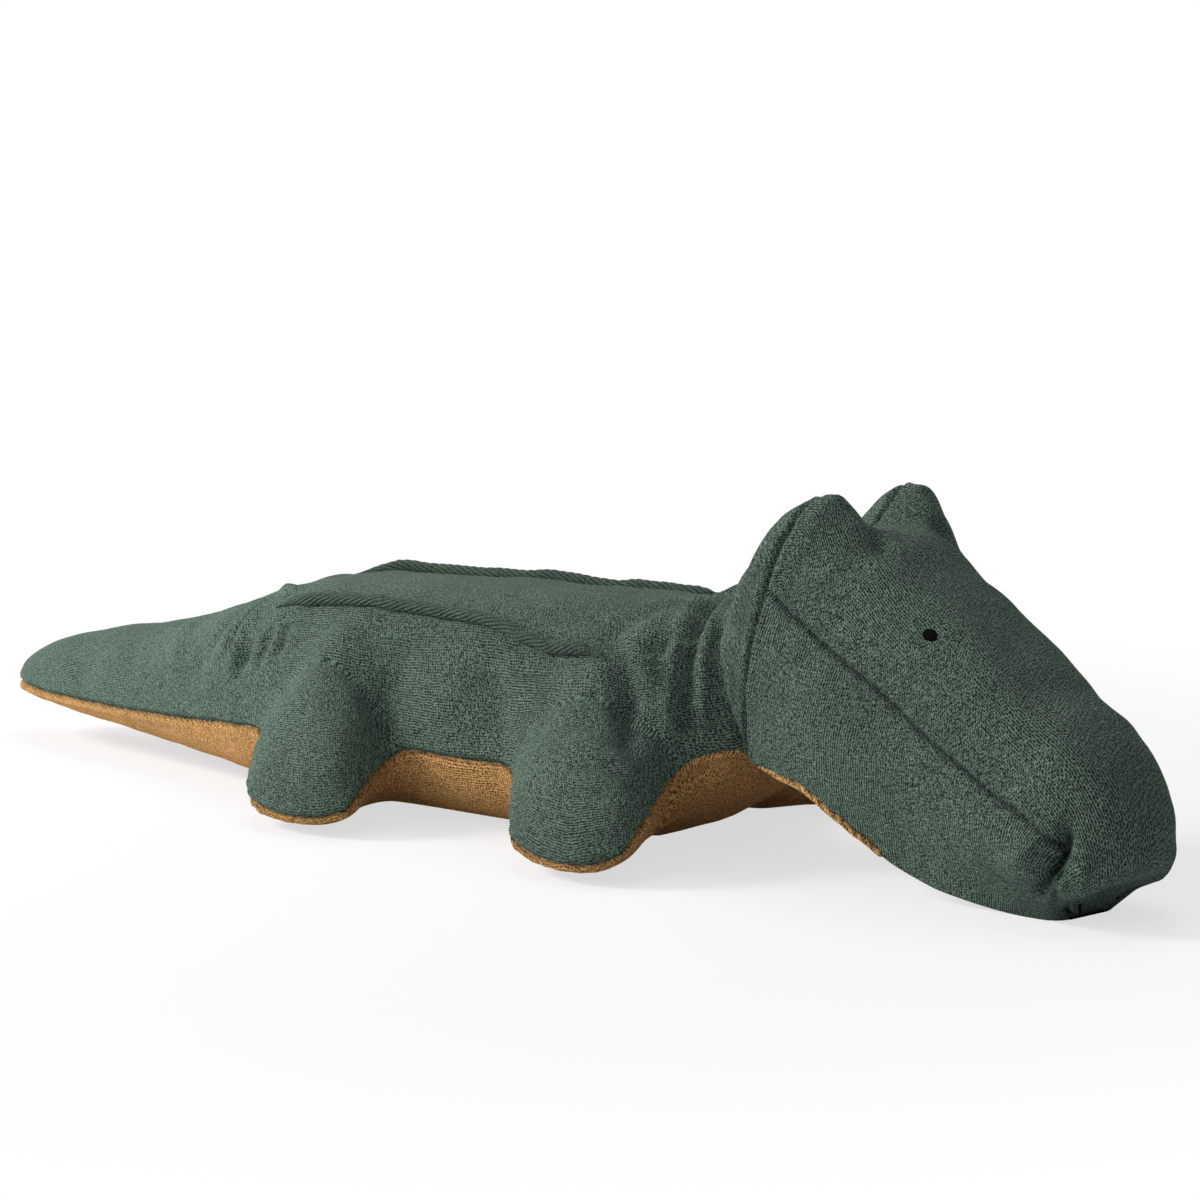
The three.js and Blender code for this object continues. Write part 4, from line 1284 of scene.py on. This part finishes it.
# Colours in the pile's gaps, with painted shade, and on its loops' tops, with painted light; then the sheen's
# tint.
GREEN = TerryFinish("Green terry", "green_terry", (0.005, 0.010, 0.007), (0.197, 0.302, 0.230),
                    (0.5, 0.65, 0.56))
PINCHED = replace(GREEN, name="Pinched green terry", rib_depth=0.05, contrast=0.7)
CARAMEL = TerryFinish("Caramel terry", "caramel_terry", (0.120, 0.048, 0.012), (0.98, 0.55, 0.20),
                      (0.9, 0.7, 0.4), contrast=1.8)
BLACK = ThreadFinish("Black thread", "black_thread", (0.0015, 0.0017, 0.0017))
DARK_GREEN = ThreadFinish("Green thread", "green_thread", (0.010, 0.018, 0.014))


@dataclass(frozen=True)
class Bend:
    """How a piece follows the bodies: it rides on one, or, where a second body is named, is baked in place,
    and its start and end are not used.
    """

    body: str
    other: str | None = None
    start: Sequence[float] = ()
    end: Sequence[float] = ()

    def apply(self, piece: bpy.types.Object) -> None:
        if self.other is None:
            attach(piece, self.body)
        else:
            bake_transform(piece)


@dataclass
class Tailor:
    """Cuts the skin into its pieces and dresses them."""

    skin: Skin
    materials: dict[str, bpy.types.Material]
    thickness: float = 0.0012
    bend_height: float = 0.04
    tail_bend: tuple[float, float] = (-0.101, -0.205)
    leg_bend: tuple[float, float] = (0.062, 0.098)
    nod_bend: tuple[float, float] = (0.002, 0.034)
    neck_bend_start: tuple[float, float, float] = (0.1368, 0.050, 0.06)
    neck_bend_angle: float = math.radians(38)
    neck_bend_length: float = 0.0185

    def cut(self, name: str, parts: Sequence[int], finish: TerryFinish, bend: Bend, replaced: Sequence[str],
            half: Side | None = None) -> None:
        """Makes one piece from the skin.

        Args:
            name: Name of the piece.
            parts: Parts of the skin that it holds.
            finish: Its cloth.
            bend: How it moves.
            replaced: CAD nodes that it stands for.
            half: Side of the middle plane that it is cut to, if it is.
        """
        bm = self.skin.bm.copy()
        layer = bm.faces.layers.int["part"]
        others = [face for face in bm.faces if face[layer] not in parts]
        bmesh.ops.delete(bm, geom=others, context="FACES")
        if half is not None:
            everything = bm.verts[:] + bm.edges[:] + bm.faces[:]
            bmesh.ops.bisect_plane(bm, geom=everything, dist=1e-6, plane_co=(0, 0, 0),
                                   plane_no=(0, half.value, 0), clear_inner=True, clear_outer=False)
        joined = bm.verts.layers.float_vector["Joined"]
        lining, inward = bm.faces[:], bm.verts[:]
        bmesh.ops.extrude_face_region(bm, geom=lining, use_keep_orig=True)
        lined = set(lining)
        for vert in inward:
            vert.co -= Vector(vert[joined]) * self.thickness
            vert[joined] = -Vector(vert[joined])
        bm.normal_update()
        inner = set(inward)
        outer = [face for face in bm.faces
                 if face not in lined and not any(vert in inner for vert in face.verts)]
        if sum(face.normal.dot(Vector(face.verts[0][joined])) for face in outer) < 0:
            bmesh.ops.reverse_faces(bm, faces=bm.faces[:])
            bm.normal_update()
        turned = sum(1 for edge in bm.edges if not edge.is_contiguous)
        normals: list[Vector] = []
        for face in bm.faces:
            rim = len({vert in inner for vert in face.verts}) > 1
            for loop in face.loops:
                normals.append(face.normal.copy() if rim else Vector(loop.vert[joined]))
        piece = finished(name, bm, self.materials[finish.slot])
        piece.data.normals_split_custom_set([tuple(normal.normalized()) for normal in normals])
        bend.apply(piece)
        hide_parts(*replaced)
        log.info("%s: %d faces, %d edges between opposed faces", name, len(piece.data.polygons), turned)

    def cut_all(self) -> None:
        """Makes all the cloth pieces."""
        tail = Bend("torso", "tail", *((x, 0, self.bend_height) for x in self.tail_bend))
        self.cut("back_cloth", (Part.BACK,), GREEN, Bend("torso"), ("back_panel", "torso_stuffing"))
        self.cut("belly_cloth", (Part.BELLY,), CARAMEL, Bend("torso"), ("belly_panel",))
        self.cut("tail_top_cloth", (Part.TAIL_TOP,), GREEN, tail, ("tail_top_panel", "tail_stuffing"))
        self.cut("tail_under_cloth", (Part.TAIL_UNDER,), CARAMEL, tail, ("tail_under_panel",))
        for side in Side:
            self.cut_neck(side)
        for number, (leg, side) in enumerate(LEG_SIDES):
            node = f"{leg.name}_{side.word}_leg"
            reach = Bend("torso", node, *((0, side.value * y, self.bend_height) for y in self.leg_bend))
            self.cut(f"{node}_top_cloth", (Part.LEG_TOPS + number,), GREEN, reach,
                     (f"{node}_top", f"{node}_stuffing"))
            self.cut(f"{node}_sole_cloth", (Part.LEG_SOLES + number,), CARAMEL, reach, (f"{node}_sole",))
        normal = head_plane_normal(self.skin.head)
        jaw = self.skin.head.upper(np.array([0.0]), np.array([-4.0, 4.0]))[0].mean(0)
        nod = Bend("neck", "head", *(jaw + normal * way for way in self.nod_bend))
        for name, part, node, finish in (
                ("head_top_cloth", Part.HEAD_TOP, ("head_top_panel", "head_stuffing"), GREEN),
                ("right_cheek_cloth", Part.CHEEK_RIGHT, ("head_right_cheek",), GREEN),
                ("left_cheek_cloth", Part.CHEEK_LEFT, ("head_left_cheek",), GREEN),
                ("gusset_cloth", Part.GUSSET, ("head_back_gusset",), GREEN),
                ("chin_cloth", Part.CHIN, ("chin_panel",), CARAMEL)):
            self.cut(name, (part,), finish, nod, node)

    def cut_neck(self, side: Side) -> None:
        """Makes one half of the neck, cut at the middle plane.

        Args:
            side: Side of the crocodile.
        """
        angle = self.neck_bend_angle
        x, y, z = self.neck_bend_start
        start = np.array([x, side.value * y, z])
        end = start + self.neck_bend_length * np.array([math.cos(angle), -side.value * math.sin(angle), 0])
        turn = Bend("torso", "neck", start, end)
        word = side.word
        self.cut(f"neck_top_cloth_{word}", (Part.NECK_TOP,), GREEN, turn,
                 ("neck_top_panel", "neck_stuffing"), side)
        self.cut(f"throat_cloth_{word}", (Part.THROAT,), CARAMEL, turn, ("neck_throat_panel",), side)


@dataclass
class Ridge:
    """A pinched fold of the back's cloth, whose overcast edge looks like a twisted cord.

    The far one, seen along the back's top line, is fuller and runs on towards the neck. places are
    its distances from the middle, as shares of the torso's half width, at even steps of its length.
    """

    side: Side
    start: float = -0.1006
    radius: float = 0.0027
    strand_pitch: float = 0.0044
    strands_round: int = 9
    rows: int = 640
    sides: int = 60
    tip = 0.12
    tapers = (9, 14)
    strand_least, strand_crown = 0.72, 0.38
    shade_most, shade_fall = 2.4, 4.6
    lift = 0.85
    ends = {Side.RIGHT: 0.0975, Side.LEFT: 0.1120}
    fullness = {Side.RIGHT: 1.0, Side.LEFT: 1.1}
    places = {Side.RIGHT: (0.60, 0.63, 0.66, 0.74, 0.83), Side.LEFT: (0.30, 0.46, 0.52, 0.58, 0.62)}

    def build(self, tree: BVHTree, material: bpy.types.Material) -> None:
        """Makes the ridge on the back.

        Args:
            tree: The skin, to lie on.
            material: Its cloth.
        """
        bm = bmesh.new()
        bmesh.ops.create_grid(bm, x_segments=self.sides, y_segments=self.rows, size=0.5)
        flat = bm.loops.layers.uv.new("Flat")
        seam = bm.verts.layers.float.new("Seam")
        place = SmoothCurve((0, 0.25, 0.5, 0.75, 1), self.places[self.side])
        thick, length = self.radius * self.fullness[self.side], self.ends[self.side] - self.start
        line = []
        for t in np.linspace(0, 1, self.rows + 1):
            x = self.start + length * t
            y = self.side.value * float(place(t)) * TORSO_WIDTH / 2
            hit, normal, _, _ = tree.ray_cast(Vector((x, y, 0.3)), Vector((0, 0, -1)))
            line.append((hit, normal, x, t))
        for vert in bm.verts:
            hit, normal, x, t = line[round((vert.co.y + 0.5) * self.rows)]
            turn = (vert.co.x + 0.5) * 2 * math.pi
            full = min(1.0, self.tapers[0] * t, self.tapers[1] * (1 - t))
            size = thick * (self.tip + (1 - self.tip) * full)
            way = (x - self.start) / self.strand_pitch + self.strands_round * turn / (2 * math.pi)
            crown = abs(math.sin(math.pi * way))
            strand = size * (self.strand_least + self.strand_crown * crown ** 0.5)
            # Painted shade in the gaps between the cord's strands.
            vert[seam] = max(0.0, self.shade_most - self.shade_fall * crown)
            aside = Vector((0, self.side.value, 0))
            aside = -(aside - normal * aside.dot(normal)).normalized()
            up = self.lift * size - math.cos(turn) * strand
            vert.co = hit + aside * (math.sin(turn) * strand) + normal * up
        for face in bm.faces:
            for loop in face.loops:
                loop[flat].uv = (loop.vert.co.x, loop.vert.co.y * 3)
        bmesh.ops.remove_doubles(bm, verts=bm.verts, dist=1e-6)
        bmesh.ops.holes_fill(bm, edges=[edge for edge in bm.edges if edge.is_boundary], sides=40)
        bmesh.ops.recalc_face_normals(bm, faces=bm.faces)
        piece = finished(f"back_ridge_cloth_{self.side.word}", bm, material)
        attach(piece, "torso")
        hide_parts(f"back_ridge_{self.side.word}")


@dataclass
class Stitching:
    """The embroidered eyes and the nostrils' stitches."""

    head: HeadForm
    tree: BVHTree
    sunk: float = 0.0003
    slant: float = -0.4
    eye_at = (0.093, 0.027, 0.106)
    eye_size = (0.0076, 0.0054, 0.0022)
    nostril_at = (0.164, 0.0315, 0.0245)
    nostril_size = (0.0018, 0.0050, 0.0012)

    def pad(self, name: str, node: str, spot: tuple[float, float, float], size: tuple[float, float, float],
            material: bpy.types.Material) -> None:
        """A domed oval of thread that lies on the cloth.

        Args:
            name: Name of the piece.
            node: CAD node that it stands for.
            spot: Its place in the head's frame.
            size: Its length, height and thickness.
            material: Its material.
        """
        where = Vector(self.head.placed(np.array(spot)))
        hit, normal, _, _ = self.tree.find_nearest(where)
        bm = bmesh.new()
        bmesh.ops.create_uvsphere(bm, u_segments=28, v_segments=16, radius=0.5)
        along = Vector((math.cos(self.head.yaw), -math.sin(self.head.yaw), self.slant))
        along = (along - normal * along.dot(normal)).normalized()
        across = normal.cross(along)
        turn = Matrix((along, across, normal)).transposed()
        bmesh.ops.scale(bm, vec=size, verts=bm.verts)
        seat = Matrix.Translation(hit - normal * self.sunk)
        bmesh.ops.transform(bm, matrix=seat @ turn.to_4x4(), verts=bm.verts)
        piece = finished(name, bm, material)
        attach(piece, "head")
        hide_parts(node)

    def build(self, black: bpy.types.Material, green: bpy.types.Material) -> None:
        """Makes both eyes and both nostrils' stitches.

        Args:
            black: Material of the eyes.
            green: Material of the stitches.
        """
        pads = (("eye_thread", "eye", self.eye_at, self.eye_size, BLACK, black),
                ("nostril_thread", "nostril_stitch", self.nostril_at, self.nostril_size, DARK_GREEN, green))
        for side in Side:
            for name, node, (x, y, z), size, finish, material in pads:
                self.pad(f"{name}_{side.word}", f"{node}_{side.word}", (x, side.value * y, z), size,
                         material)


class Studio:
    """Floor, lamps, world and camera."""

    aim = Vector((0.057, 0, 0.097))
    eye = Vector((0.996, -1.224, 0.328))
    lit = Vector((0.03, 0, 0.05))
    lamps = (("Key", (-1.80, -1.08, 1.32), 0.7, 56), ("Fill", (-0.5, -1.9, 0.8), 1.4, 11),
             ("Top", (-0.4, 0.7, 1.8), 1.2, 11))
    world_light = 0.23
    lens, sensor = 108, 36
    floor_half = 8
    shadow_fades, floor_glow = (0.30, 0.62), 0.66

    def build(self) -> None:
        """Makes everything that isn't the crocodile."""
        self.floor()
        for lamp in self.lamps:
            self.lamp(*lamp)
        world = bpy.data.worlds.new("Studio")
        bpy.context.scene.world = world
        n = blank(world)
        strength = n.span(self.seen(n), 0, 1, self.world_light, 1)
        back = n.add("ShaderNodeBackground", {"Color": (1, 1, 1, 1), "Strength": strength})
        n.add("ShaderNodeOutputWorld", {"Surface": back.outputs[0]})
        camera = bpy.data.cameras.new("Camera")
        camera.lens, camera.sensor_width = self.lens, self.sensor
        camera.clip_end = 50
        seat = linked("Camera", camera)
        seat.location = self.eye
        seat.rotation_euler = (self.aim - self.eye).to_track_quat("-Z", "Y").to_euler()
        bpy.context.scene.camera = seat
        bpy.context.scene.view_settings.view_transform = "Standard"

    @staticmethod
    def seen(n: Nodes) -> bpy.types.NodeSocket:
        """1 for rays from the camera, and through glass or off metal.

        Args:
            n: Nodes of the tree.

        Returns:
            The value.
        """
        path = n.add("ShaderNodeLightPath").outputs
        seen = n.math("ADD", path["Is Camera Ray"], path["Is Glossy Ray"])
        return n.math("MINIMUM", n.math("ADD", seen, path["Is Transmission Ray"]), 1)

    def floor(self) -> None:
        """White floor that keeps the shadow near the crocodile and fades to plain white."""
        bm = bmesh.new()
        bmesh.ops.create_grid(bm, x_segments=1, y_segments=1, size=self.floor_half)
        made = bpy.data.materials.new("White floor")
        n = blank(made)
        place = n.add("ShaderNodeTexCoord").outputs["Object"]
        reach = n.add("ShaderNodeVectorMath", {0: place}, operation="LENGTH").outputs["Value"]
        share = n.span(reach, *self.shadow_fades, self.floor_glow, 1)
        share = n.math("MULTIPLY", share, self.seen(n))
        plain = n.add("ShaderNodeBsdfDiffuse", {"Color": (0.9, 0.9, 0.9, 1)})
        white = n.add("ShaderNodeEmission", {"Color": (1, 1, 1, 1), "Strength": 1.0})
        both = n.add("ShaderNodeMixShader", {0: share, 1: plain.outputs[0], 2: white.outputs[0]})
        n.add("ShaderNodeOutputMaterial", {"Surface": both.outputs[0]})
        finished("floor", bm, made)

    def lamp(self, name: str, where: tuple[float, float, float], size: float, power: float) -> None:
        """A square soft lamp that faces the crocodile.

        Args:
            name: Its name.
            where: Its place.
            size: Its width in metres.
            power: Its power in watts.
        """
        light = bpy.data.lights.new(name, "AREA")
        light.shape, light.size, light.energy = "SQUARE", size, power
        stand = linked(name, light)
        stand.location = where
        stand.rotation_euler = (self.lit - Vector(where)).to_track_quat("-Z", "Y").to_euler()


def main() -> None:
    """Builds the crocodile, piece by piece, and the studio."""
    logging.basicConfig(level=logging.INFO, format="%(name)s: %(message)s")
    Studio().build()
    skin = Skin(HeadForm(), BodyForm())
    skin.build()
    skin.soften_roots()
    skin.refine()
    relief = Relief(skin)
    relief.lumps()
    relief.folds()
    relief.seams()
    relief.finish()
    pile = PileGroup()
    materials = {finish.slot: finish.material(pile) for finish in (GREEN, CARAMEL)}
    pinched = PINCHED.material(pile)
    Tailor(skin, materials).cut_all()
    tree = BVHTree.FromBMesh(skin.bm)
    for side in Side:
        Ridge(side).build(tree, pinched)
    Stitching(skin.head, tree).build(BLACK.material(), DARK_GREEN.material())
    skin.bm.free()


if __name__ == "__main__":
    main()
